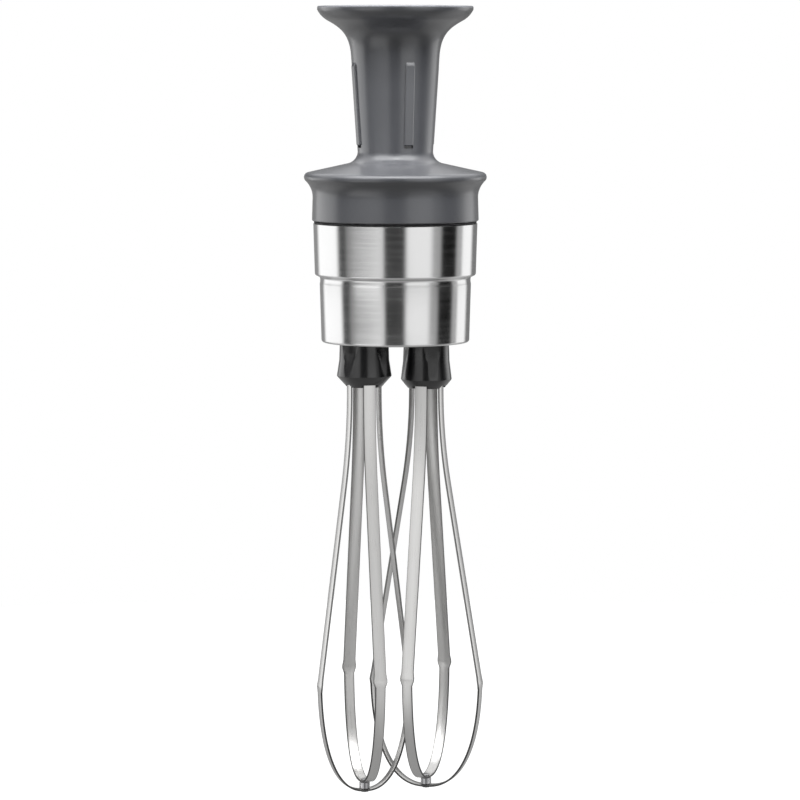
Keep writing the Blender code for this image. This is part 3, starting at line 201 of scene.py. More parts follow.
class Graph:
    """A node tree for a finish, the studio's light or a shape."""

    def __init__(self, tree: bpy.types.NodeTree) -> None:
        """Start an empty graph in a tree."""
        self.tree = tree
        tree.nodes.clear()

    def node(self, kind: str, settings: Settings | None = None,
             sockets: Sockets | None = None) -> bpy.types.Node:
        """A node of any type.

        Args:
            kind: The node's type.
            settings: Its properties, set first. The key stops holds a ramp's stops.
            sockets: Its inputs by name or number, each a value or a wire.

        Returns:
            The node.
        """
        made = self.tree.nodes.new(kind)
        for name, value in (settings or {}).items():
            if name == "stops":
                self._set_stops(made.color_ramp, value)
            else:
                setattr(made, name, value)
        for name, value in (sockets or {}).items():
            if isinstance(value, Wire):
                self.tree.links.new(value.socket, made.inputs[name])
            else:
                made.inputs[name].default_value = value
        return made

    @staticmethod
    def _set_stops(ramp: bpy.types.ColorRamp, stops: Sequence[Pair]) -> None:
        """Give a ramp its grey stops.

        Args:
            ramp: The ramp.
            stops: The place and the grey of each stop.
        """
        while len(ramp.elements) < len(stops):
            ramp.elements.new(1.0)
        for element, (place, grey) in zip(ramp.elements, stops):
            element.position = place
            element.color = (grey, grey, grey, 1.0)

    def out(self, kind: str, settings: Settings | None = None, sockets: Sockets | None = None,
            output: str | int = 0) -> Wire:
        """A new node's output as a wire.

        Args:
            kind: The node's type.
            settings: Its properties.
            sockets: Its inputs.
            output: The output's name or number.

        Returns:
            The output.
        """
        return Wire(self, self.node(kind, settings, sockets).outputs[output])

    def math(self, operation: str, *values: Wire | float, clamp: bool = False) -> Wire:
        """A Math node on some values.

        Args:
            operation: The node's operation.
            *values: Its inputs, in order.
            clamp: Whether the result stays between 0 and 1.

        Returns:
            The result.
        """
        settings = {"operation": operation, "use_clamp": clamp}
        return self.out("ShaderNodeMath", settings, dict(enumerate(values)))

    def split(self, vector: Wire) -> tuple[Wire, Wire, Wire]:
        """The three parts of a vector."""
        made = self.node("ShaderNodeSeparateXYZ", None, {0: vector})
        return Wire(self, made.outputs[0]), Wire(self, made.outputs[1]), Wire(self, made.outputs[2])

    def vector(self, x: Wire | float, y: Wire | float, z: Wire | float) -> Wire:
        """A vector of three parts."""
        return self.out("ShaderNodeCombineXYZ", None, {0: x, 1: y, 2: z})

    def stretch(self, vector: Wire, factors: Triple) -> Wire:
        """A vector with each part scaled."""
        return self.out("ShaderNodeVectorMath", {"operation": "MULTIPLY"}, {0: vector, 1: factors})

    def turn(self, angle: Wire) -> Wire:
        """A turn about Z."""
        return self.out("FunctionNodeAxisAngleToRotation", None, {"Axis": (0.0, 0.0, 1.0), "Angle": angle})

    def noise(self, vector: Wire, factors: Triple, detail: float = 2.0) -> Wire:
        """Noise from 0 to 1.

        Args:
            vector: Where to read it.
            factors: How many cells it has in a metre, each way.
            detail: How many finer layers it has.

        Returns:
            The noise.
        """
        sockets = {"Vector": self.stretch(vector, factors), "Scale": 1.0, "Detail": detail}
        return self.out("ShaderNodeTexNoise", None, sockets, "Fac")

    def tint(self, colour: RGB, tone: Wire) -> Wire:
        """A colour made lighter or darker by a tone."""
        return self.out("ShaderNodeVectorMath", {"operation": "SCALE"}, {0: colour, 3: tone})

    def bump(self, height: Wire, distance: float) -> Wire:
        """The normal of a rough surface whose height is given from 0 to 1."""
        sockets = {"Strength": 1.0, "Distance": distance, "Height": height}
        return self.out("ShaderNodeBump", None, sockets)

    def rays(self) -> tuple[Wire, Wire]:
        """Tell apart the rays that meet a surface or the world.

        Returns:
            1 for a ray of the camera, also through glass, and 1 for a mirrored ray.
        """
        path = self.node("ShaderNodeLightPath")
        camera = Wire(self, path.outputs["Is Camera Ray"])
        clear = Wire(self, path.outputs["Is Transmission Ray"])
        return (camera + clear).clamped(), Wire(self, path.outputs["Is Glossy Ray"])


@dataclass(frozen=True)
class Finish:
    """What every finish has.

    Attributes:
        name: The material's name.
        slot: The material slot of the part that it dresses.
        colour: Its base colour, linear.
        roughness: Its mean roughness.
    """

    name: str
    slot: str
    colour: RGB
    roughness: float

    def material(self) -> bpy.types.Material:
        """Find the finish's material, or make it when it is first asked for.

        Returns:
            The material.
        """
        found = bpy.data.materials.get(self.name)
        if found is not None:
            return found
        material = bpy.data.materials.new(self.name)
        material.use_nodes = True
        material.diffuse_color = (*self.colour, 1.0)
        graph = Graph(material.node_tree)
        shader = graph.node("ShaderNodeBsdfPrincipled", None, self.fixed())
        colour, roughness, normal = self.surface(graph)
        for name, value in (("Base Color", colour), ("Roughness", roughness), ("Normal", normal)):
            graph.tree.links.new(value.socket, shader.inputs[name])
        graph.node("ShaderNodeOutputMaterial", None, {"Surface": Wire(graph, shader.outputs[0])})
        return material

    def fixed(self) -> Sockets:
        """The shader's inputs that are the same all over."""
        return {"Metallic": 0.0}

    def surface(self, graph: Graph) -> tuple[Wire, Wire, Wire]:
        """Base colour, roughness and normal."""
        raise NotImplementedError

    def place(self, graph: Graph) -> Wire:
        """Where the shader is on the piece, in metres."""
        return graph.out("ShaderNodeTexCoord", None, None, "Object")


@dataclass(frozen=True)
class MouldedPlastic(Finish):
    """A moulding with a fine spark-eroded grain, which handling has polished in patches.

    Attributes:
        grain: The size of a grain.
        depth: How deep the grain is.
        patch: The size of the patches.
        coat: The weight of the clear skin of a glossy moulding.
        haze: How rough that skin is.
        rim_wear_and_highlight: How much lighter the rim is: a painted highlight along it, with wear from
            setting down.
        rim_wear_and_highlight_even: The share of that which is the same all round.
        rim_wear_and_highlight_heights: Where the lighter stretch of painted highlight and wear starts and
            where it is full.
        grain_tone: How much the grain changes the tone.
        patch_tone: How much the patches change the tone.
        grain_wear: How much the grain changes the roughness.
        patch_wear: How much the patches change the roughness.
    """

    grain: float = 0.3 * MM
    depth: float = 0.02 * MM
    patch: float = 14.0 * MM
    coat: float = 0.0
    haze: float = 0.12
    rim_wear_and_highlight: float = 0.0
    rim_wear_and_highlight_even: float = 0.6
    rim_wear_and_highlight_heights: Pair = (-1.4 * MM, -0.9 * MM)
    grain_tone: float = 0.16
    patch_tone: float = 0.18
    grain_wear: float = 0.1
    patch_wear: float = 0.16

    def fixed(self) -> Sockets:
        """The shader's inputs that are the same all over."""
        return {"Metallic": 0.0, "Coat Weight": self.coat, "Coat Roughness": self.haze}

    def surface(self, graph: Graph) -> tuple[Wire, Wire, Wire]:
        """Lay grain and patches over the surface, and make the rim lighter with a painted highlight and
        wear.

        Args:
            graph: The material's graph.

        Returns:
            Base colour, roughness and normal.
        """
        place = self.place(graph)
        fine = graph.noise(place, (1.0 / self.grain,) * 3)
        patches = graph.noise(place, (1.0 / self.patch,) * 3, detail=4.0)
        tone = 1.0 + fine.swing(self.grain_tone) + patches.swing(self.patch_tone)
        # The lighter rim is a painted highlight, mixed with wear from setting down.
        if self.rim_wear_and_highlight:
            height = graph.split(place)[2]
            tone = tone + height.ease(*self.rim_wear_and_highlight_heights) * (self.rim_wear_and_highlight * (self.rim_wear_and_highlight_even + patches))
        roughness = self.roughness + patches.swing(self.patch_wear) + fine.swing(self.grain_wear)
        return graph.tint(self.colour, tone), roughness.clamped(), graph.bump(fine, self.depth)


@dataclass(frozen=True)
class BrushedMetal(Finish):
    """Steel with the marks of a brush or a turning tool.

    Attributes:
        lay: The way the marks run.
        line: The distance between two marks.
        length: How many times longer than that a mark is.
        depth: How deep the marks are.
        streak: How much the marks change the colour.
        anisotropy: How much further the marks spread a reflection across than along.
        stains: How many stains lie in a metre.
        stain_tone: How much they change the tone.
        wear: How much marks, streaks and stains change the roughness.
        rim: Half the width of a strip, whose edges carry painted shade.
        painted_rim_shade: How much darker the painted shade makes the edges.
        rim_insets: How far inside the rim the painted shade starts and where it is full.
        bow_insets: The same for the wider painted shade round the bow.
    """

    lay: Lay = Lay.AROUND
    line: float = 0.25 * MM
    length: float = 90.0
    depth: float = 0.002 * MM
    streak: float = 0.1
    anisotropy: float = 0.0
    stains: float = 60.0
    stain_tone: float = 0.06
    wear: Triple = (0.12, 0.1, 0.06)
    rim: float = 0.0
    painted_rim_shade: float = 0.66
    rim_insets: Pair = (0.5 * MM, 0.1 * MM)
    bow_insets: Pair = (0.9 * MM, 0.3 * MM)

    def fixed(self) -> Sockets:
        """The shader's inputs that are the same all over."""
        return {"Metallic": 1.0, "Anisotropic": self.anisotropy, "Anisotropic Rotation": 0.25}

    def place(self, graph: Graph) -> Wire:
        """Find where the shader is on the piece, or on its strip where the marks run along one.

        Args:
            graph: The material's graph.

        Returns:
            The place in metres, or how far across and along the strip, with 1 in its bow.
        """
        if self.lay is Lay.ALONG:
            return graph.out("ShaderNodeAttribute", {"attribute_name": "strip"}, None, "Vector")
        return super().place(graph)

    def marks(self, graph: Graph, place: Wire) -> tuple[Wire, Wire]:
        """Draw the marks, which are long and narrow noise.

        Args:
            graph: The material's graph.
            place: Where the shader is.

        Returns:
            Fine marks, and streaks that are several marks wide.
        """
        across = 1.0 / self.line
        along = 1.0 / (self.length * self.line)
        if self.lay is Lay.ALONG:
            wider, longer = 7.0, 3.0
            fine = graph.noise(place, (across, along, 1.0))
            broad = graph.noise(place, (across / wider, along / longer, 1.0), detail=3.0)
        else:
            wider, longer = 9.0, 2.0
            fine = graph.noise(place, (along, along, across))
            broad = graph.noise(place, (along / longer, along / longer, across / wider), detail=3.0)
        return fine, broad

    def paint_edge_shade(self, graph: Graph, place: Wire, tone: Wire) -> Wire:
        """Paint shade on a strip's edges, and a wider stretch of it round the bow.

        Args:
            graph: The material's graph.
            place: How far across and along the strip the shader is, with 1 in its bow.
            tone: The tone so far.

        Returns:
            The tone with its painted edge shade.
        """
        side, _, bow = graph.split(place)
        reach = graph.math("ABSOLUTE", side)
        edge = reach.ease(*(self.rim - inset for inset in self.rim_insets))
        bow_shade = reach.ease(*(self.rim - inset for inset in self.bow_insets)) * bow
        return tone * (1.0 - edge * self.painted_rim_shade) * (1.0 - bow_shade * self.painted_rim_shade)

    def surface(self, graph: Graph) -> tuple[Wire, Wire, Wire]:
        """Lay fine marks, broad streaks and a few stains over the surface.

        Args:
            graph: The material's graph.

        Returns:
            Base colour, roughness and normal.
        """
        place = self.place(graph)
        fine, broad = self.marks(graph, place)
        stain = graph.noise(place, (self.stains,) * 3, detail=3.0)
        tone = 1.0 + fine.swing(self.streak) + broad.swing(self.streak) + stain.swing(self.stain_tone)
        # Painted shade along the strip's edges, wider round the bow.
        if self.rim:
            tone = self.paint_edge_shade(graph, place, tone)
        roughness = self.roughness
        for marks, wear in zip((fine, broad, stain), self.wear):
            roughness = roughness + marks.swing(wear)
        return graph.tint(self.colour, tone), roughness.clamped(), graph.bump(fine, self.depth)


@dataclass(frozen=True)
class GrainedMatter(Finish):
    """Rubber, sintered bronze or another matter with pores.

    Attributes:
        metallic: 1 for a metal.
        pore: The size of a pore.
        depth: How deep a pore is.
        pore_tone: The tone in a pore, as a share of the ground's.
        pore_edge: Between which heights of the noise a pore's edge lies.
        pore_wear: How much rougher a pore is.
        clouds: How many lighter and darker clouds of the ground lie in a metre.
        cloud_tone: How much they change the tone.
        cloud_wear: How much they change the roughness.
    """

    metallic: float = 0.0
    pore: float = 0.3 * MM
    depth: float = 0.03 * MM
    pore_tone: float = 0.72
    pore_edge: Pair = (0.3, 0.5)
    pore_wear: float = 0.15
    clouds: float = 120.0
    cloud_tone: float = 0.2
    cloud_wear: float = 0.1

    def fixed(self) -> Sockets:
        """The shader's inputs that are the same all over."""
        return {"Metallic": self.metallic}

    def surface(self, graph: Graph) -> tuple[Wire, Wire, Wire]:
        """Set dark pores in a clouded ground.

        Args:
            graph: The material's graph.

        Returns:
            Base colour, roughness and normal.
        """
        place = self.place(graph)
        speck = graph.noise(place, (1.0 / self.pore,) * 3, detail=3.0)
        clouds = graph.noise(place, (self.clouds,) * 3, detail=3.0)
        ground = speck.ease(*self.pore_edge)
        tone = self.pore_tone + ground * (1.0 - self.pore_tone) + clouds.swing(self.cloud_tone)
        roughness = self.roughness + (1.0 - ground) * self.pore_wear + clouds.swing(self.cloud_wear)
        return graph.tint(self.colour, tone), roughness.clamped(), graph.bump(ground, self.depth)


# The head's lighter rim is a painted highlight with wear.
HEAD_PLASTIC = MouldedPlastic("moulded grey plastic", "head_plastic", (0.085, 0.088, 0.097), 0.36,
                              coat=0.9, haze=0.22, rim_wear_and_highlight=1.2)
CUP_STEEL = BrushedMetal("steel brushed round", "brushed_cup_steel", (0.68, 0.68, 0.68), 0.2,
                         streak=0.08, anisotropy=0.75)
HUB_PLASTIC = MouldedPlastic("glossy black plastic", "hub_plastic", (0.011, 0.011, 0.012), 0.3,
                             depth=0.004 * MM, coat=0.7)
# The strips' darkened edges are painted shade.
BAND_STEEL = BrushedMetal("steel strip brushed lengthwise", "band_steel", (0.63, 0.626, 0.617), 0.3,
                          lay=Lay.ALONG, line=0.3 * MM, streak=0.16, rim=3.6 * MM)
MACHINED_STEEL = BrushedMetal("turned steel", "machined_steel", (0.42, 0.42, 0.43), 0.2, line=0.15 * MM)
GEAR_PLASTIC = MouldedPlastic("natural gear plastic", "gear_plastic", (0.75, 0.73, 0.66), 0.45)
CASE_PLASTIC = MouldedPlastic("black case plastic", "case_plastic", (0.03, 0.03, 0.032), 0.5)
BUSH_BRONZE = GrainedMatter("sintered bronze", "bush_bronze", (0.55, 0.33, 0.16), 0.4, metallic=1.0)
SEAL_RUBBER = GrainedMatter("seal rubber", "seal_rubber", (0.05, 0.05, 0.053), 0.7)
FINISHES = (HEAD_PLASTIC, CUP_STEEL, HUB_PLASTIC, BAND_STEEL, MACHINED_STEEL, GEAR_PLASTIC,
            CASE_PLASTIC, BUSH_BRONZE, SEAL_RUBBER)


def arc(centre: Point, radius: float, start: float, end: float, count: int = PROFILE_STEPS) -> list[Point]:
    """Points on an arc of a profile.

    Args:
        centre: The arc's centre, as distance from the axis and height.
        radius: Its radius.
        start: Its first angle, in degrees.
        end: Its last angle, in degrees.
        count: How many steps it has.

    Returns:
        The points, with both ends.
    """
    points = []
    for i in range(count + 1):
        angle = math.radians(start + (end - start) * i / count)
        points.append((centre[0] + radius * math.cos(angle), centre[1] + radius * math.sin(angle)))
    return points


def bend(start: Point, handles: Handles, end: Point, count: int = PROFILE_STEPS) -> list[Point]:
    """Points on a cubic curve of a profile.

    Args:
        start: Its first point, which isn't returned.
        handles: How far its handles stand from its two ends.
        end: Its last point.
        count: How many steps it has.

    Returns:
        The points after the first.
    """
    first = (start[0] + handles[0][0], start[1] + handles[0][1])
    second = (end[0] + handles[1][0], end[1] + handles[1][1])
    corners = (start, first, second, end)
    points = []
    for i in range(1, count + 1):
        t = i / count
        weights = ((1 - t) ** 3, 3 * t * (1 - t) ** 2, 3 * t * t * (1 - t), t**3)
        points.append(tuple(sum(w * c[axis] for w, c in zip(weights, corners)) for axis in (0, 1)))
    return points


def smoothed(mesh: bpy.types.Mesh) -> bpy.types.Mesh:
    """Shade a mesh smooth up to its sharp edges.

    Args:
        mesh: The mesh.

    Returns:
        The same mesh.
    """
    mesh.shade_smooth()
    mesh.set_sharp_from_angle(angle=SHARP_ANGLE)
    return mesh


def to_mesh(name: str, shape: bmesh.types.BMesh) -> bpy.types.Mesh:
    """Make a mesh of a closed shape, with its faces out.

    Args:
        name: The mesh's name.
        shape: The shape, which is freed.

    Returns:
        The mesh.
    """
    bmesh.ops.recalc_face_normals(shape, faces=shape.faces)
    mesh = bpy.data.meshes.new(name)
    shape.to_mesh(mesh)
    shape.free()
    return smoothed(mesh)


def revolve(name: str, outline: Sequence[Point], steps: int = ROUND_STEPS) -> bpy.types.Mesh:
    """A closed body turned about Z.

    Args:
        name: The mesh's name.
        outline: Its profile, either a loop or a line that starts and ends on the axis.
        steps: How many facets it has round the axis.

    Returns:
        The mesh.
    """
    shape = bmesh.new()
    rings = []
    for radius, height in outline:
        if radius < ON_AXIS:
            rings.append([shape.verts.new((0.0, 0.0, height))])
            continue
        turns = (math.tau * k / steps for k in range(steps))
        rings.append([shape.verts.new((radius * math.cos(a), radius * math.sin(a), height)) for a in turns])
    pairs = list(zip(rings, rings[1:]))
    if len(rings[0]) > 1:
        pairs.append((rings[-1], rings[0]))
    for upper, lower in pairs:
        for k in range(steps):
            corners = (upper[k % len(upper)], upper[(k + 1) % len(upper)],
                       lower[(k + 1) % len(lower)], lower[k % len(lower)])
            distinct = list(dict.fromkeys(corners))
            if len(distinct) > 2:
                shape.faces.new(distinct)
    return to_mesh(name, shape)


def bar(name: str, size: Size, matrix: Matrix, edge: float = 0.0, top_slope: float = 0.0) -> bpy.types.Mesh:
    """A box placed by a matrix.

    Args:
        name: The mesh's name.
        size: Its depth, width and height.
        matrix: Where it goes.
        edge: The width of its chamfers.
        top_slope: How far below its top its outer face stops, where a slope starts up and inwards.

    Returns:
        The mesh.
    """
    shape = bmesh.new()
    bmesh.ops.create_cube(shape, size=1.0, matrix=Matrix.Diagonal((*size, 1.0)))
    for vert in shape.verts:
        if vert.co.x > 0.0 and vert.co.z > 0.0:
            vert.co.z -= top_slope
    if edge:
        bmesh.ops.bevel(shape, geom=shape.edges[:], offset=edge, segments=1, affect="EDGES")
    bmesh.ops.transform(shape, matrix=matrix, verts=shape.verts)
    return to_mesh(name, shape)


def rod(name: str, radius: float, bottom: float, top: float, place: Pair = (0.0, 0.0),
        steps: int = SMALL_STEPS) -> bpy.types.Mesh:
    """An upright cylinder, or a prism where steps is small.

    Args:
        name: The mesh's name.
        radius: Its radius.
        bottom: The height of its lower end.
        top: The height of its upper end.
        place: Where its axis stands, on X and Y.
        steps: How many sides it has.

    Returns:
        The mesh.
    """
    mesh = revolve(name, [(0.0, top), (radius, top), (radius, bottom), (0.0, bottom)], steps)
    mesh.transform(Matrix.Translation((*place, 0.0)))
    return mesh


def spindle_x(side: Side) -> float:
    """Where a whisk's spindle stands on X."""
    low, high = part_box(f"{side.value}_spindle")
    return (low.x + high.x) / 2.0


def hold(data: bpy.types.Mesh | bpy.types.Curve) -> bpy.types.Object:
    """Make an object for a mesh or a curve, at the origin.

    Args:
        data: The mesh or curve.

    Returns:
        The object.
    """
    obj = bpy.data.objects.new(data.name, data)
    bpy.context.scene.collection.objects.link(obj)
    return obj


def evaluated(obj: bpy.types.Object) -> bpy.types.Mesh:
    """Take the mesh that an object's modifiers make.

    Args:
        obj: The object, which is removed.

    Returns:
        The mesh.
    """
    bpy.context.view_layer.update()
    depsgraph = bpy.context.evaluated_depsgraph_get()
    mesh = bpy.data.meshes.new_from_object(obj.evaluated_get(depsgraph))
    mesh.name = obj.name
    obj.modifiers.clear()
    bpy.data.objects.remove(obj)
    return mesh


def carve(mesh: bpy.types.Mesh, cutters: Sequence[bpy.types.Mesh], edge: float = 0.0) -> bpy.types.Mesh:
    """A mesh with others cut out of it.

    Args:
        mesh: The mesh to cut.
        cutters: The shapes to take away.
        edge: How wide the cut's edges are broken.

    Returns:
        The cut mesh.
    """
    obj = hold(mesh)
    tools = [hold(cutter) for cutter in cutters]
    for tool in tools:
        boolean = obj.modifiers.new("Cut", "BOOLEAN")
        boolean.operation = "DIFFERENCE"
        boolean.solver = "EXACT"
        boolean.object = tool
    if edge:
        bevel = obj.modifiers.new("Edge", "BEVEL")
        bevel.width = edge
        bevel.segments = 2
        bevel.angle_limit = SHARP_ANGLE
    made = evaluated(obj)
    for tool in tools:
        bpy.data.objects.remove(tool)
    return smoothed(made)


class Tree:
    """A Geometry Nodes tree with named inputs."""

    def __init__(self, name: str, inputs: Sequence[tuple[str, str]]) -> None:
        """Start a tree.

        Args:
            name: Its name.
            inputs: The name and socket type of each input after the geometry.
        """
        self.group = bpy.data.node_groups.new(name, "GeometryNodeTree")
        self.graph = Graph(self.group)
        face = self.group.interface
        for label, kind in (("Geometry", "NodeSocketGeometry"), *inputs):
            face.new_socket(label, in_out="INPUT", socket_type=kind)
        face.new_socket("Geometry", in_out="OUTPUT", socket_type="NodeSocketGeometry")
        self.source = self.graph.node("NodeGroupInput")

    def given(self, name: str) -> Wire:
        """A named input."""
        return Wire(self.graph, self.source.outputs[name])

    def close(self, geometry: Wire) -> None:
        """End the tree in real geometry that wears its material.

        Args:
            geometry: What the tree has made.
        """
        real = self.graph.out("GeometryNodeRealizeInstances", None, {0: geometry})
        sockets = {"Geometry": real, "Material": self.given("Material")}
        dressed = self.graph.out("GeometryNodeSetMaterial", None, sockets)
        self.graph.node("NodeGroupOutput", None, {0: dressed})

    def grow(self, obj: bpy.types.Object, values: Settings) -> bpy.types.Mesh:
        """The mesh that the tree makes of an object, which is removed.

        Args:
            obj: The object to start from.
            values: The tree's inputs by name.

        Returns:
            The mesh.
        """
        modifier = obj.modifiers.new("Grow", "NODES")
        modifier.node_group = self.group
        for item in self.group.interface.items_tree:
            if item.in_out == "INPUT" and item.name in values:
                modifier[item.identifier] = values[item.name]
        return smoothed(evaluated(obj))


def ring_tree() -> Tree:
    """Make a tree that sets copies of a piece round the Z axis, evenly or in pairs.

    Returns:
        The tree.
    """
    inputs = (("Count", "NodeSocketInt"), ("First", "NodeSocketFloat"), ("Stagger", "NodeSocketFloat"),
              ("Material", "NodeSocketMaterial"))
    tree = Tree("ring_of_pieces", inputs)
    graph = tree.graph
    index = graph.out("GeometryNodeInputIndex")
    count = tree.given("Count")
    sway = graph.math("COSINE", index * math.pi) * tree.given("Stagger")
    angle = tree.given("First") + index * math.tau / count + sway
    turn = graph.turn(angle)
    points = graph.out("GeometryNodePoints", None, {"Count": count})
    sockets = {"Points": points, "Instance": tree.given("Geometry"), "Rotation": turn}
    tree.close(graph.out("GeometryNodeInstanceOnPoints", None, sockets))
    return tree


def sweep_strip(tree: Tree) -> tuple[Wire, Wire]:
    """Sweep a strip's rounded section along the path that the tree is given.

    Args:
        tree: The strip's tree.

    Returns:
        The strip, and how far along the path each of its points is.
    """
    graph = tree.graph
    path = graph.node("GeometryNodeCaptureAttribute", {"domain": "POINT"}, {0: tree.given("Geometry")})
    path.capture_items.new("FLOAT", "Along")
    length = graph.out("GeometryNodeSplineParameter", None, None, "Length")
    graph.tree.links.new(length.socket, path.inputs[1])
    sockets = {"Curve": Wire(graph, path.outputs[0]), "Normal": (0.0, 1.0, 0.0)}
    aimed = graph.out("GeometryNodeSetCurveNormal", {"mode": "FREE"}, sockets)
    sockets = {"Width": tree.given("Width"), "Height": tree.given("Thickness")}
    section = graph.out("GeometryNodeCurvePrimitiveQuadrilateral", None, sockets)
    sockets = {"Curve": section, "Radius": tree.given("Edge"), "Count": 3}
    section = graph.out("GeometryNodeFilletCurve", {"mode": "POLY"}, sockets)
    sockets = {"Curve": aimed, "Profile Curve": section, "Fill Caps": True}
    return graph.out("GeometryNodeCurveToMesh", None, sockets), Wire(graph, path.outputs[1])


def strip_tree() -> Tree:
    """Make a tree that sweeps a flat strip along a path in the XZ plane and sets its width by height.

    The strip flares out to an ear just above its kink and is narrower in the bow below it. Each
    point keeps how far across and along the strip it is, with 1 in the bow.

    Returns:
        The tree.
    """
    sizes = ("Width", "Thickness", "Edge", "Ear Width", "Bow Width", "Kink", "Ear", "Blend", "Turn",
             "Axis X")
    inputs = [(name, "NodeSocketFloat") for name in sizes]
    tree = Tree("whisk_strip", [*inputs, ("Material", "NodeSocketMaterial")])
    graph = tree.graph
    swept, along = sweep_strip(tree)
    x, y, z = graph.split(graph.out("GeometryNodeInputPosition"))
    above = z - tree.given("Kink")
    narrowing = (-0.6 * MM, -0.1 * MM)
    bowed = 1.0 - above.ease(*narrowing)
    sockets = {"Name": "strip", "Value": graph.vector(y, along, bowed), 0: swept}
    settings = {"data_type": "FLOAT_VECTOR", "domain": "POINT"}
    marked = graph.out("GeometryNodeStoreNamedAttribute", settings, sockets)
    clear = (above - tree.given("Ear")) / tree.given("Blend")
    eared = (1.0 - clear.ease(0.0, 1.0)) * (tree.given("Ear Width") / tree.given("Width") - 1.0)
    wide = (1.0 + eared) * (1.0 - bowed) + bowed * (tree.given("Bow Width") / tree.given("Width"))
    sockets = {"Geometry": marked, "Position": graph.vector(x, y * wide, z)}
    shaped = graph.out("GeometryNodeSetPosition", None, sockets)
    sockets = {"Geometry": shaped, "Rotation": graph.turn(tree.given("Turn")),
               "Translation": graph.vector(tree.given("Axis X"), 0.0, 0.0)}
    tree.close(graph.out("GeometryNodeTransform", None, sockets))
    return tree


@dataclass(frozen=True)
class Workshop:
    """What the sub-assemblies share.

    Attributes:
        ring: The tree for pieces that stand in a ring.
        strip: The tree for the whisks' strips.
    """

    ring: Tree
    strip: Tree

    def circle(self, mesh: bpy.types.Mesh, count: int, first: float = 0.0, stagger: float = 0.0,
               finish: Finish | None = None) -> bpy.types.Mesh:
        """Copies of a mesh round the Z axis.

        Args:
            mesh: One copy, where it stands at angle 0.
            count: How many there are.
            first: The angle of the first.
            stagger: How far they swing from even spacing, to one side and the other in turn.
            finish: What they wear.

        Returns:
            All of them as one mesh.
        """
        values = {"Count": count, "First": first, "Stagger": stagger}
        if finish is not None:
            values["Material"] = finish.material()
        return self.ring.grow(hold(mesh), values)

    def piece(self, name: str, mesh: bpy.types.Mesh, finish: Finish, body: str,
              *nodes: str) -> bpy.types.Object:
        """A finished piece.

        Args:
            name: Its name.
            mesh: Its mesh, in place.
            finish: What it wears.
            body: The body that carries it.
            *nodes: The nodes of the part that it stands for.

        Returns:
            The piece.
        """
        obj = hold(mesh)
        obj.name = name
        mesh.name = name
        mesh.materials.clear()
        mesh.materials.append(finish.material())
        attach(obj, body)
        if nodes:
            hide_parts(*nodes)
        LOG.info("%s: %d faces, on %s", name, len(mesh.polygons), body)
        return obj


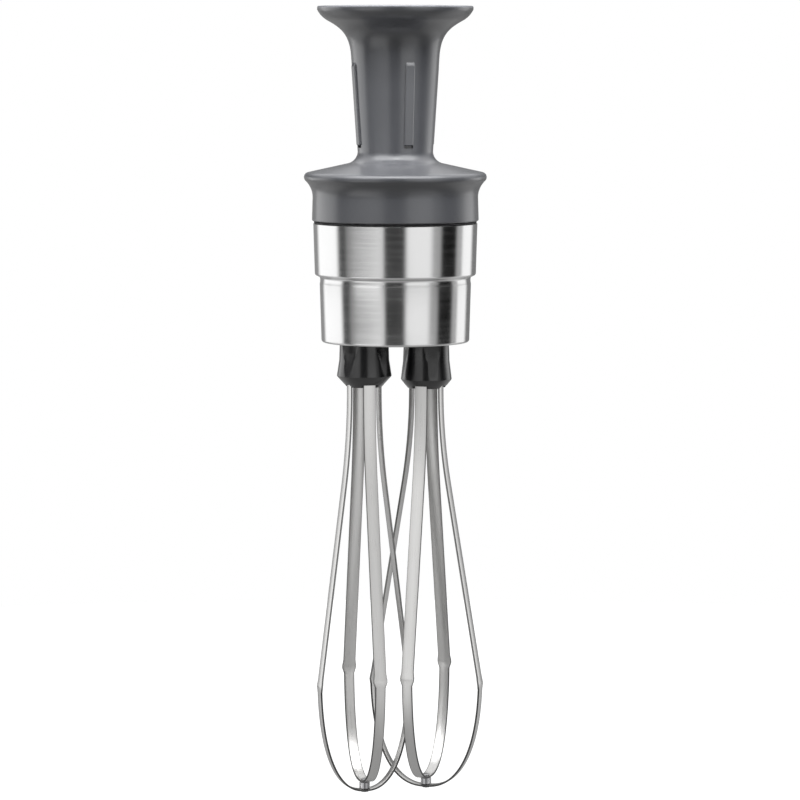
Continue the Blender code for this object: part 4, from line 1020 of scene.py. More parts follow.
@dataclass(frozen=True)
class Head:
    """The moulded head: flared socket, ribbed neck and collar.

    Attributes:
        rim_radius: Radius of the top rim.
        rim_edge: Radius of its rounded edge.
        lip_bottom: Height at which the upright lip ends.
        lip_draft: How much narrower the lip is there.
        flare: Where the flare under the lip starts.
        neck_top: Where the flare ends in the neck.
        neck_root: Where the neck ends in the fillet on the cone.
        root_fillet: Radius of that fillet.
        collar: The middle of the bead's height, at the collar's widest.
        bead: Radius of the bead.
        bead_end: Angle at which the bead ends, in degrees.
        cone_slope: How steeply the cone above the bead falls.
        skirt_top: Where the skirt starts.
        skirt_flare: How much wider the skirt is at its edge.
        skirt_edge: Radius of that edge.
        wall: Thickness of the moulding.
        floor: Thickness of the socket's floor.
        lip_handles: The bend from the lip to the flare.
        flare_handles: The bend from the flare to the neck.
        undercut_handles: The bend from the bead to the skirt.
        mouth_handles: The bend of the socket's mouth, up to the rim.
        rib_count: How many ribs the neck has.
        rib_width: A rib's width.
        rib_proud: How far a rib stands out.
        rib_rooted: How far it reaches into the neck.
        rib_top: The height of its top.
        rib_bottom: The height of its foot.
        rib_edge: The width of its chamfers.
        rib_slope: How far its top end falls outwards.
        notch: Size of the notch under a rib's foot.
        lug_count: How many lugs the socket has.
        lug_top: The height of their top.
        lug_size: The size of a lug.
        lug_rooted: How far a lug reaches into the wall.
        lug_edge: The width of its chamfers.
    """

    rim_radius: float = 43.5 * MM
    rim_edge: float = 0.9 * MM
    lip_bottom: float = -2.2 * MM
    lip_draft: float = 0.1 * MM
    flare: Point = (38.2 * MM, -7.8 * MM)
    neck_top: Point = (24.55 * MM, -28.8 * MM)
    neck_root: Point = (21.0 * MM, -80.4 * MM)
    root_fillet: float = 7.0 * MM
    collar: Point = (51.0 * MM, -94.9 * MM)
    bead: float = 2.8 * MM
    bead_end: float = -48.0
    cone_slope: float = math.radians(12.2)
    skirt_top: Point = (46.2 * MM, -106.0 * MM)
    skirt_flare: float = 0.35 * MM
    skirt_edge: float = 0.9 * MM
    wall: float = 3.0 * MM
    floor: float = 4.0 * MM
    lip_handles: Handles = ((-1.4 * MM, -2.6 * MM), (2.2 * MM, 1.4 * MM))
    flare_handles: Handles = ((-7.7 * MM, -4.2 * MM), (0.65 * MM, 13.3 * MM))
    undercut_handles: Handles = ((-1.9 * MM, -1.9 * MM), (0.0, 4.2 * MM))
    mouth_handles: Handles = ((0.85 * MM, 13.8 * MM), (-10.5 * MM, -7.5 * MM))
    rib_count: int = 4
    rib_width: float = 5.3 * MM
    rib_proud: float = 0.95 * MM
    rib_rooted: float = 1.5 * MM
    rib_top: float = -28.6 * MM
    rib_bottom: float = -77.0 * MM
    rib_edge: float = 0.5 * MM
    rib_slope: float = 4.5 * MM
    notch: Size = (2.4 * MM, 5.3 * MM, 1.5 * MM)
    lug_count: int = 2
    lug_top: float = -33.5 * MM
    lug_size: Size = (3.6 * MM, 8.0 * MM, 4.0 * MM)
    lug_rooted: float = 1.0 * MM
    lug_edge: float = 0.3 * MM

    @property
    def taper(self) -> float:
        """The angle of the neck's taper."""
        return math.atan2(self.neck_top[0] - self.neck_root[0], self.neck_top[1] - self.neck_root[1])

    def neck_radius(self, height: float) -> float:
        """Outer radius of the neck at a height."""
        return self.neck_root[0] + (height - self.neck_root[1]) * math.tan(self.taper)

    def outside(self, bottom: float) -> list[Point]:
        """Draw the outer side, from the rim down to the skirt's edge.

        Args:
            bottom: The height of the skirt's edge.

        Returns:
            The points, from the top down.
        """
        points = arc((self.rim_radius - self.rim_edge, -self.rim_edge), self.rim_edge, 90.0, 0.0)
        points.append((self.rim_radius - self.lip_draft, self.lip_bottom))
        points += bend(points[-1], self.lip_handles, self.flare, count=6)
        points += bend(self.flare, self.flare_handles, self.neck_top, count=24)
        centre = (self.neck_root[0] + self.root_fillet, self.neck_root[1])
        slope = math.degrees(self.cone_slope)
        points += arc(centre, self.root_fillet, 180.0 + math.degrees(self.taper), 270.0 - slope, count=14)
        bead = (self.collar[0] - self.bead, self.collar[1])
        points += arc(bead, self.bead, 90.0 - slope, self.bead_end, count=14)
        points += bend(points[-1], self.undercut_handles, self.skirt_top)
        edge = (self.skirt_top[0] + self.skirt_flare - self.skirt_edge, bottom + self.skirt_edge)
        points += arc(edge, self.skirt_edge, 0.0, -90.0, count=6)
        return points

    def inside(self, bottom: float, socket_floor: float, hole: float) -> list[Point]:
        """Draw the inner side, from the skirt's edge up under the floor and up the socket.

        Args:
            bottom: The height of the skirt's edge.
            socket_floor: The height of the socket's floor.
            hole: Radius of the hole in that floor.

        Returns:
            The points, from the skirt's edge to the rim.
        """
        inner = self.skirt_top[0] - self.wall
        cone = self.collar[1] + self.bead - 2.0 * self.wall
        under = socket_floor - self.floor
        points = [(inner, bottom), (inner, self.collar[1] - self.wall), (inner - self.wall, cone),
                  (self.neck_root[0] + self.wall, cone + self.wall),
                  (self.neck_root[0] - self.wall, self.neck_root[1] - self.wall / 2.0),
                  (self.neck_radius(under) - self.wall, under), (hole, under), (hole, socket_floor),
                  (self.neck_radius(socket_floor) - self.wall, socket_floor),
                  (self.neck_top[0] - self.wall, self.neck_top[1])]
        return points + bend(points[-1], self.mouth_handles, (self.rim_radius - self.wall, 0.0), count=20)

    def build(self, shop: Workshop, body: str, *nodes: str) -> None:
        """Make the head.

        Args:
            shop: The shared trees.
            body: The body that carries it.
            *nodes: The nodes of the part that the shell stands for.
        """
        self.build_shell(shop, body, *nodes)
        self.build_ribs(shop, body)
        self.build_lugs(shop, body)

    def build_shell(self, shop: Workshop, body: str, *nodes: str) -> None:
        """Make the shell, with a notch under the foot of each rib.

        Args:
            shop: The shared trees.
            body: The body that carries it.
            *nodes: The nodes of the part that it stands for.
        """
        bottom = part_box("cup_gasket")[1].z + GAP
        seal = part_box("input_seal")
        outline = self.outside(bottom) + self.inside(bottom, seal[1].z, seal[1].x + GAP)
        shell = revolve("head_shell", outline)
        foot = self.rib_bottom - self.notch[2] / 2.0
        place = Matrix.Translation((self.neck_radius(foot), 0.0, foot))
        notches = shop.circle(bar("notch", self.notch, place), self.rib_count)
        shop.piece("head_shell", carve(shell, [notches]), HEAD_PLASTIC, body, *nodes)

    def build_ribs(self, shop: Workshop, body: str) -> None:
        """Make the grip ribs, which lean as the neck tapers.

        Args:
            shop: The shared trees.
            body: The body that carries them.
        """
        middle = (self.rib_top + self.rib_bottom) / 2.0
        reach = self.neck_radius(middle) + (self.rib_proud - self.rib_rooted) / 2.0
        length = (self.rib_top - self.rib_bottom) / math.cos(self.taper)
        lean = Matrix.Translation((reach, 0.0, middle)) @ Matrix.Rotation(self.taper, 4, "Y")
        size = (self.rib_proud + self.rib_rooted, self.rib_width, length)
        rib = bar("rib", size, lean, self.rib_edge, self.rib_slope)
        ribs = shop.circle(rib, self.rib_count, finish=HEAD_PLASTIC)
        shop.piece("neck_ribs", ribs, HEAD_PLASTIC, body)

    def build_lugs(self, shop: Workshop, body: str) -> None:
        """Make the lugs in the socket.

        Args:
            shop: The shared trees.
            body: The body that carries them.
        """
        depth, _, height = self.lug_size
        centre = self.neck_radius(self.lug_top) - self.wall + self.lug_rooted - depth / 2.0
        place = Matrix.Translation((centre, 0.0, self.lug_top - height / 2.0))
        lug = bar("lug", self.lug_size, place, self.lug_edge)
        lugs = shop.circle(lug, self.lug_count, finish=HEAD_PLASTIC)
        shop.piece("socket_lugs", lugs, HEAD_PLASTIC, body)


@dataclass(frozen=True)
class Cup:
    """The stepped steel cup round the gearbox, its gasket and its screws.

    Attributes:
        rim_radius: Outer radius at the open top.
        rim_edge: How far its edge is broken.
        step_radius: Outer radius just above the step.
        step: Height of the step.
        wall: Thickness of the steel.
        corner: Radius of the corners at the step and at the base.
        shoulder_fall: How far the step falls towards the middle.
        shoulder_end: Angle at which the step's corner ends, in degrees.
        waist_radius: Outer radius below the step.
        groove_start: How far outside that radius and under the step the groove starts.
        groove_end: How far under the step it ends.
        groove_handles: The bend of the groove.
        base_radius: Outer radius at the base.
        base: Thickness of the base.
        spindle_hole: Radius of the two holes for the spindles.
        hole_depth: How far their cutters reach up into the cup.
        gasket_radius: Outer radius of the gasket.
        gasket_width: Its width.
        gasket_bulge: How far its outer edge bulges.
        screw_count: How many screws hold the cup.
        screw_circle: Radius of the circle on which they stand.
        screw_stagger: How far they stand from an even spacing.
        screw_radius: Radius of a screw.
        screw_end: Width of the chamfer at its end.
        screw_head: Radius and height of its head.
        screw_edge: How far the head's edge is broken.
        screw_drive: Radius and depth of the socket in the head.
        sink_depth: How far a screw's hole reaches up into the cup.
    """

    rim_radius: float = 45.85 * MM
    rim_edge: float = 0.15 * MM
    step_radius: float = 45.05 * MM
    step: float = -150.2 * MM
    wall: float = 1.0 * MM
    corner: float = 1.5 * MM
    shoulder_fall: float = 0.4 * MM
    shoulder_end: float = -75.0
    waist_radius: float = 42.3 * MM
    groove_start: Pair = (0.3 * MM, 0.2 * MM)
    groove_end: float = 4.3 * MM
    groove_handles: Handles = ((-0.75 * MM, -0.2 * MM), (-0.35 * MM, 1.6 * MM))
    base_radius: float = 41.4 * MM
    base: float = 1.2 * MM
    spindle_hole: float = 6.5 * MM
    hole_depth: float = 3.0 * MM
    gasket_radius: float = 45.5 * MM
    gasket_width: float = 1.5 * MM
    gasket_bulge: float = 0.4 * MM
    screw_count: int = 4
    screw_circle: float = 35.5 * MM
    screw_stagger: float = math.radians(-5.0)
    screw_radius: float = 2.0 * MM
    screw_end: float = 0.6 * MM
    screw_head: Pair = (3.75 * MM, 1.75 * MM)
    screw_edge: float = 0.15 * MM
    screw_drive: Pair = (1.45 * MM, 1.2 * MM)
    sink_depth: float = 9.0 * MM

    def outline(self, top: float, bottom: float) -> list[Point]:
        """Draw the cup's profile, down its outer side and up its inner side.

        Args:
            top: The height of its open top.
            bottom: The height of its base.

        Returns:
            The points.
        """
        points = [(self.rim_radius - self.rim_edge, top), (self.rim_radius, top - self.rim_edge)]
        corner = (self.step_radius - self.corner, self.step + self.corner + self.shoulder_fall)
        points += arc(corner, self.corner, 0.0, self.shoulder_end)
        high = (self.waist_radius + self.groove_start[0], self.step - self.groove_start[1])
        low = (self.waist_radius, self.step - self.groove_end)
        points.append(high)
        points += bend(high, self.groove_handles, low)
        foot = (self.base_radius - self.corner, bottom + self.corner)
        points += arc(foot, self.corner, 0.0, -90.0)
        inner = bottom + self.base
        shelf = self.step + self.wall
        points += [(0.0, bottom), (0.0, inner), (self.base_radius - 2.0 * self.wall, inner),
                   (self.base_radius - self.wall, inner + self.wall),
                   (self.waist_radius - self.wall, self.step - self.groove_end),
                   (self.waist_radius - self.wall, shelf), (self.step_radius - self.wall, shelf),
                   (self.rim_radius - self.wall, top)]
        return points

    def spread(self, shop: Workshop, mesh: bpy.types.Mesh, finish: Finish | None = None) -> bpy.types.Mesh:
        """Copies of a mesh, one at each screw."""
        mesh.transform(Matrix.Translation((self.screw_circle, 0.0, 0.0)))
        return shop.circle(mesh, self.screw_count, math.radians(45.0), self.screw_stagger, finish)

    def build(self, shop: Workshop, body: str) -> None:
        """Make the cup, the gasket and the tie screws.

        Args:
            shop: The shared trees.
            body: The body that carries them.
        """
        low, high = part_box("steel_cup")
        cup = revolve("cup_shell", self.outline(high.z, low.z))
        cutters = self.make_cutters(shop, low.z)
        shop.piece("cup_shell", carve(cup, cutters), CUP_STEEL, body, "steel_cup")
        self.build_gasket(shop, body)
        self.build_screws(shop, body, low.z)

    def make_cutters(self, shop: Workshop, bottom: float) -> list[bpy.types.Mesh]:
        """Make the cutters for the countersunk screw holes and the spindles' holes.

        Args:
            shop: The shared trees.
            bottom: The height of the cup's base.

        Returns:
            The cutters.
        """
        hole = self.screw_radius + GAP
        head = self.screw_head[0] + GAP
        sink = [(0.0, bottom + self.sink_depth), (hole, bottom + self.sink_depth),
                (hole, bottom + self.screw_head[1] + GAP), (head, bottom), (head, bottom - PAST),
                (0.0, bottom - PAST)]
        cutters = [self.spread(shop, revolve("sinks", sink, SMALL_STEPS))]
        for side in Side:
            place = (spindle_x(side), 0.0)
            cutters.append(rod(f"{side.value}_hole", self.spindle_hole, bottom - PAST,
                               bottom + self.hole_depth, place))
        return cutters

    def build_gasket(self, shop: Workshop, body: str) -> None:
        """Make the rubber ring between the head and the cup.

        Args:
            shop: The shared trees.
            body: The body that carries it.
        """
        low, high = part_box("cup_gasket")
        middle = (low.z + high.z) / 2.0
        inner = self.gasket_radius - self.gasket_width
        bulge = (self.gasket_radius - self.gasket_bulge, middle)
        outline = [(inner, high.z), *arc(bulge, high.z - middle, 90.0, -90.0), (inner, low.z)]
        shop.piece("gasket_ring", revolve("gasket_ring", outline), SEAL_RUBBER, body, "cup_gasket")

    def build_screws(self, shop: Workshop, body: str, bottom: float) -> None:
        """Make the countersunk tie screws.

        Args:
            shop: The shared trees.
            body: The body that carries them.
            bottom: The height of the cup's base.
        """
        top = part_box("tie_screw_1")[1].z
        head, head_height = self.screw_head
        outline = [(0.0, top), (self.screw_radius - self.screw_end, top),
                   (self.screw_radius, top - self.screw_end), (self.screw_radius, bottom + head_height),
                   (head, bottom + self.screw_edge), (head - self.screw_edge, bottom), (0.0, bottom)]
        drive, depth = self.screw_drive
        socket = rod("drive", drive, bottom - PAST, bottom + depth, steps=6)
        screw = carve(revolve("screw", outline, SCREW_STEPS), [socket])
        screws = self.spread(shop, screw, MACHINED_STEEL)
        nodes = [f"tie_screw_{i + 1}" for i in range(self.screw_count)]
        shop.piece("tie_screws", screws, MACHINED_STEEL, body, *nodes)


@dataclass(frozen=True)
class DriveEnd:
    """What shows at the bottom of the socket: the splined coupling and the seal round its shaft.

    Attributes:
        radius: Outer radius of the coupling.
        edge: Radius of its rounded top edge.
        socket_radius: Radius of its bore.
        mouth: Width of the chamfer at the bore's mouth.
        shaft_bore: Radius of the hole for the shaft.
        floor: Thickness of the coupling under its bore.
        spline_count: How many splines the bore has.
        spline_size: Depth and width of a spline.
        spline_rooted: How far it reaches into the wall.
        spline_edge: The width of its chamfers.
        spline_sunk: How much longer it is than from the bore's floor to the foot of the top edge.
        seal_radius: Outer radius of the seal.
        seal_edge: Width of the chamfer on it.
        seal_lip: How far the seal's lip reaches in.
    """

    radius: float = 9.0 * MM
    edge: float = 0.8 * MM
    socket_radius: float = 6.2 * MM
    mouth: float = 0.3 * MM
    shaft_bore: float = 4.3 * MM
    floor: float = 4.0 * MM
    spline_count: int = 6
    spline_size: Pair = (2.2 * MM, 2.2 * MM)
    spline_rooted: float = 0.8 * MM
    spline_edge: float = 0.3 * MM
    spline_sunk: float = 0.4 * MM
    seal_radius: float = 11.0 * MM
    seal_edge: float = 0.4 * MM
    seal_lip: float = 1.2 * MM

    def build(self, shop: Workshop, body: str, carrier: str) -> None:
        """Make the coupling and the seal.

        Args:
            shop: The shared trees.
            body: The body that the coupling turns with.
            carrier: The body that holds the seal.
        """
        low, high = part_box("drive_coupling")
        bottom = low.z + self.floor
        corner = (self.radius - self.edge, high.z - self.edge)
        outline = [(self.socket_radius + self.mouth, high.z), *arc(corner, self.edge, 90.0, 0.0, count=6),
                   (self.radius, low.z), (self.shaft_bore, low.z), (self.shaft_bore, bottom),
                   (self.socket_radius, bottom), (self.socket_radius, high.z - self.mouth)]
        coupling = revolve("coupling_body", outline, SMALL_STEPS)
        shop.piece("coupling_body", coupling, HUB_PLASTIC, body, "drive_coupling")
        self.build_splines(shop, body, bottom, high.z - self.edge)
        self.build_seal(shop, carrier)

    def build_splines(self, shop: Workshop, body: str, bottom: float, top: float) -> None:
        """Make the splines in the coupling's bore.

        Args:
            shop: The shared trees.
            body: The body that they turn with.
            bottom: The height of the bore's floor.
            top: The height at which they end.
        """
        depth, width = self.spline_size
        reach = self.socket_radius + self.spline_rooted - depth / 2.0
        place = Matrix.Translation((reach, 0.0, (bottom + top) / 2.0))
        spline = bar("spline", (depth, width, top - bottom + self.spline_sunk), place, self.spline_edge)
        splines = shop.circle(spline, self.spline_count, finish=HUB_PLASTIC)
        shop.piece("coupling_splines", splines, HUB_PLASTIC, body)

    def build_seal(self, shop: Workshop, body: str) -> None:
        """Make the seal round the shaft.

        Args:
            shop: The shared trees.
            body: The body that holds it.
        """
        low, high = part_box("input_seal")
        lip = self.shaft_bore + self.seal_lip
        outline = [(lip, high.z), (self.seal_radius - self.seal_edge, high.z),
                   (self.seal_radius, high.z - self.seal_edge), (self.seal_radius, low.z),
                   (lip, low.z), (self.shaft_bore, (low.z + high.z) / 2.0)]
        seal = revolve("shaft_seal", outline, SMALL_STEPS)
        shop.piece("shaft_seal", seal, SEAL_RUBBER, body, "input_seal")


@dataclass(frozen=True)
class Whisk:
    """One whisk: a fluted hub with two crossed loops of steel strip, riveted at the tip.

    Attributes:
        side: Which of the two whisks it is.
        bulge: Half the width of its loops at the kinks.
        turn: How far it stands turned at rest.
        hub_top: Radius of the hub at its top.
        hub_widest: Radius and height of the hub's widest ring.
        hub_foot: Radius and height of its foot.
        flute_turn: How far its flutes stand from between the legs.
        hub_edge: Radius of the hub's rounded top edge.
        hub_swell: How much the hub swells out half way to its widest ring.
        hub_break: How far in and down the hub's edge is broken under that ring.
        hub_taper: How far out and up from the foot the hub's taper starts.
        cut_edge: How wide the edges of flutes and slots are broken.
        legs: How many legs, and flutes between them, the hub has.
        leg_radius: Distance of the legs from the axis where they leave the hub.
        leg_anchor: How far the legs reach up into the hub.
        leg_notch: Size of the notch in the hub's foot at each leg.
        shank_bore: Radius of the hexagon hole for the shank, and the floor left under it.
        bend_top: Where the legs start to bend outwards.
        bend_bottom: Where they run straight again.
        bend_steps: Steps of that bend.
        strip: Width and thickness of the strip.
        strip_edge: Radius of the strip's edges.
        ear: Width and height of the ears at the kink.
        ear_blend: Over how much height an ear grows.
        bow_width: Width of the strip in the bow.
        bow_exponent: Exponent of the superellipse that the bow follows, 2 being an ellipse.
        bow_start: Angle at which the bow starts.
        bow_steps: Steps of half a bow.
        outer: Heights of the outer loop's kink and tip.
        inner: Heights of the inner loop's kink and tip.
        flute_radius: Radius of the hollow of a flute.
        flute_top: Depth of a flute at the hub's top.
        flute_runout: How far outside the widest ring a flute runs out.
        rivet_radius: Radius of the rivet's spacer.
        rivet_edge: Width of the chamfers on it.
        rivet_stem: Radius of the rivet where it passes the strips.
        rivet_head: Radius and height of its domed heads.
    """

    side: Side
    bulge: float
    turn: float
    hub_top: float
    hub_widest: Point
    hub_foot: Point
    flute_turn: float
    hub_edge: float = 0.5 * MM
    hub_swell: float = 0.25 * MM
    hub_break: Pair = (0.3 * MM, 0.6 * MM)
    hub_taper: Pair = (1.6 * MM, 1.9 * MM)
    cut_edge: float = 0.18 * MM
    legs: int = 4
    leg_radius: float = 8.6 * MM
    leg_anchor: float = 9.0 * MM
    leg_notch: Size = (8.0 * MM, 8.8 * MM, 3.0 * MM)
    shank_bore: Pair = (3.4 * MM, 2.0 * MM)
    bend_top: float = -214.0 * MM
    bend_bottom: float = -268.0 * MM
    bend_steps: int = 16
    strip: Pair = (7.2 * MM, 1.0 * MM)
    strip_edge: float = 0.25 * MM
    ear: Pair = (8.2 * MM, 1.6 * MM)
    ear_blend: float = 3.0 * MM
    bow_width: float = 6.0 * MM
    bow_exponent: float = 2.4
    bow_start: float = math.radians(5.0)
    bow_steps: int = 40
    outer: Pair = (-380.5 * MM, -440.5 * MM)
    inner: Pair = (-375.0 * MM, -435.2 * MM)
    flute_radius: float = 17.0 * MM
    flute_top: float = 1.9 * MM
    flute_runout: float = 0.5 * MM
    rivet_radius: float = 3.0 * MM
    rivet_edge: float = 0.3 * MM
    rivet_stem: float = 1.2 * MM
    rivet_head: Pair = (2.2 * MM, 0.5 * MM)

    @property
    def body(self) -> str:
        """The body that carries the whisk."""
        return f"{self.side.value}_whisk"

    def half_loop(self, kink: float, tip: float) -> list[Point]:
        """Draw half a loop's path: leg, bend, straight flare and half the bow.

        Args:
            kink: The height of its kink.
            tip: The height of its tip.

        Returns:
            The points from the hub to just before the tip.
        """
        middle = (self.bend_top + self.bend_bottom) / 2.0
        slope = (self.bulge - self.leg_radius) / (middle - kink)
        foot = self.leg_radius + slope * (middle - self.bend_bottom)
        points = [(self.leg_radius, self.hub_foot[1] + self.leg_anchor - GAP)]
        for i in range(self.bend_steps + 1):
            t = i / self.bend_steps
            radius = (1.0 - t * t) * self.leg_radius + t * t * foot
            height = (1 - t) ** 2 * self.bend_top + 2 * t * (1 - t) * middle + t * t * self.bend_bottom
            points.append((radius, height))
        # One place on the straight flare, then those at which the ear takes its shape
        straight = 30.0 * MM
        ear = self.ear[1]
        blend = self.ear_blend
        for above in (straight, ear + blend, ear + blend / 2.0, ear, ear / 2.0, 0.0):
            points.append((self.bulge - slope * above, kink + above))
        power = 2.0 / self.bow_exponent
        width = self.bulge / math.cos(self.bow_start) ** power
        depth = (kink - tip) / (1.0 - math.sin(self.bow_start) ** power)
        for i in range(1, self.bow_steps):
            angle = self.bow_start + (math.pi / 2.0 - self.bow_start) * i / self.bow_steps
            height = tip + depth * (1.0 - math.sin(angle) ** power)
            points.append((width * math.cos(angle) ** power, height))
        return points

    def make_loop(self, shop: Workshop, name: str, place: Pair, turn: float) -> bpy.types.Mesh:
        """One loop of strip, down one side, round the tip and up the other.

        Args:
            shop: The shared trees.
            name: The mesh's name.
            place: The heights of its kink and its tip.
            turn: Its turn about the whisk's axis.

        Returns:
            The mesh.
        """
        half = self.half_loop(*place)
        path = [*half, (0.0, place[1]), *((-radius, height) for radius, height in reversed(half))]
        curve = bpy.data.curves.new(name, "CURVE")
        curve.dimensions = "3D"
        spline = curve.splines.new("POLY")
        spline.points.add(len(path) - 1)
        for point, (radius, height) in zip(spline.points, path):
            point.co = (radius, 0.0, height, 1.0)
        values = {"Width": self.strip[0], "Thickness": self.strip[1], "Edge": self.strip_edge,
                  "Ear Width": self.ear[0], "Bow Width": self.bow_width, "Kink": place[0],
                  "Ear": self.ear[1], "Blend": self.ear_blend, "Turn": turn,
                  "Axis X": spindle_x(self.side), "Material": BAND_STEEL.material()}
        return shop.strip.grow(hold(curve), values)

    def make_flute(self, top: float) -> bpy.types.Mesh:
        """Make the cutter for a hollow flute, which leans out and runs out at the widest ring.

        Args:
            top: The height of the hub's top.

        Returns:
            The cutter.
        """
        widest, widest_height = self.hub_widest
        height = top - widest_height
        upper = self.hub_top - self.flute_top
        lower = widest + self.flute_runout
        lean = math.atan2(lower - upper, height)
        flute = rod("flute", self.flute_radius, -height, height, steps=ROUND_STEPS)
        reach = self.flute_radius + (upper + lower) / 2.0
        middle = Matrix.Translation((reach, 0.0, top - height / 2.0))
        flute.transform(middle @ Matrix.Rotation(-lean, 4, "Y"))
        return flute

    def make_hub(self, shop: Workshop) -> bpy.types.Mesh:
        """Make the hub, with its flutes, a slot for each leg and a hole for the shank.

        Args:
            shop: The shared trees.

        Returns:
            The mesh.
        """
        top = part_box(f"{self.side.value}_hub")[1].z
        widest, widest_height = self.hub_widest
        foot, bottom = self.hub_foot
        edge = (self.hub_top - self.hub_edge, top - self.hub_edge)
        outline = [(0.0, top), *arc(edge, self.hub_edge, 90.0, 0.0, count=4),
                   (self.hub_top + self.hub_swell, (top + widest_height) / 2.0), self.hub_widest,
                   (widest - self.hub_break[0], widest_height - self.hub_break[1]),
                   (foot + self.hub_taper[0], bottom + self.hub_taper[1]), self.hub_foot, (0.0, bottom)]
        hub = revolve(f"{self.side.value}_hub_body", outline, HUB_STEPS)
        width, thickness = self.strip
        tall = self.leg_anchor + PAST
        slot = bar("slot", (thickness + 2.0 * GAP, width + 2.0 * GAP, tall),
                   Matrix.Translation((self.leg_radius, 0.0, bottom - PAST + tall / 2.0)))
        notch = bar("notch", self.leg_notch,
                    Matrix.Translation((self.leg_radius + self.leg_notch[0] / 2.0, 0.0, bottom)))
        bore, floor = self.shank_bore
        first = self.turn + self.flute_turn + math.pi / self.legs
        cutters = [shop.circle(self.make_flute(top), self.legs, first),
                   shop.circle(slot, self.legs, self.turn), shop.circle(notch, self.legs, self.turn),
                   rod("bore", bore, bottom + floor, top + PAST, steps=6)]
        made = carve(hub, cutters, self.cut_edge)
        made.transform(Matrix.Translation((spindle_x(self.side), 0.0, 0.0)))
        return made

    def make_rivet(self) -> bpy.types.Mesh:
        """Make the tip rivet: a spacer between the loops, with a domed head at each end.

        Returns:
            The mesh.
        """
        head, height = self.rivet_head
        dome = ((0.0, 1.0), (0.6, 0.85), (1.0, 0.4), (1.0, 0.0))
        lift = self.strip[1] / 2.0 + GAP
        inner, outer = self.inner[1], self.outer[1]
        radius, edge, stem = self.rivet_radius, self.rivet_edge, self.rivet_stem
        outline = [(head * x, inner + lift + height * y) for x, y in dome]
        outline += [(stem, inner + lift), (stem, inner - lift), (radius - edge, inner - lift),
                    (radius, inner - lift - edge), (radius, outer + lift + edge),
                    (radius - edge, outer + lift), (stem, outer + lift), (stem, outer - lift)]
        outline += [(head * x, outer - lift - height * y) for x, y in reversed(dome)]
        mesh = revolve(f"{self.side.value}_rivet", outline, SCREW_STEPS)
        mesh.transform(Matrix.Translation((spindle_x(self.side), 0.0, 0.0)))
        return mesh

    def build(self, shop: Workshop) -> None:
        """Make the hub, both loops and the rivet.

        Args:
            shop: The shared trees.
        """
        side = self.side.value
        shop.piece(f"{side}_hub_body", self.make_hub(shop), HUB_PLASTIC, self.body, f"{side}_hub")
        loops = (("outer", self.outer, self.turn), ("inner", self.inner, self.turn + math.pi / 2.0))
        for name, place, turn in loops:
            mesh = self.make_loop(shop, f"{side}_{name}_strip", place, turn)
            shop.piece(f"{side}_{name}_strip", mesh, BAND_STEEL, self.body, f"{side}_{name}_loop")
        shop.piece(f"{side}_rivet", self.make_rivet(), MACHINED_STEEL, self.body, f"{side}_tip_rivet")


LEFT_WHISK = Whisk(Side.LEFT, bulge=26.6 * MM, turn=0.0, hub_top=13.7 * MM,
                   hub_widest=(15.3 * MM, -205.4 * MM), hub_foot=(9.9 * MM, -211.7 * MM),
                   flute_turn=math.radians(-12.0))
RIGHT_WHISK = Whisk(Side.RIGHT, bulge=32.3 * MM, turn=math.radians(-39.6), hub_top=12.8 * MM,
                    hub_widest=(14.3 * MM, -208.4 * MM), hub_foot=(10.4 * MM, -213.4 * MM),
                    flute_turn=math.radians(-9.0))


@dataclass(frozen=True)
class Lamp:
    """A square area lamp that shines on the middle of the part.

    Attributes:
        name: Its name.
        angle: How far it stands round from the camera, in degrees, right being positive.
        rise: How high it stands, in degrees above the level.
        reach: How far away it stands.
        width: Its width and height.
        watts: Its power.
    """

    name: str
    angle: float
    rise: float
    reach: float
    width: float
    watts: float


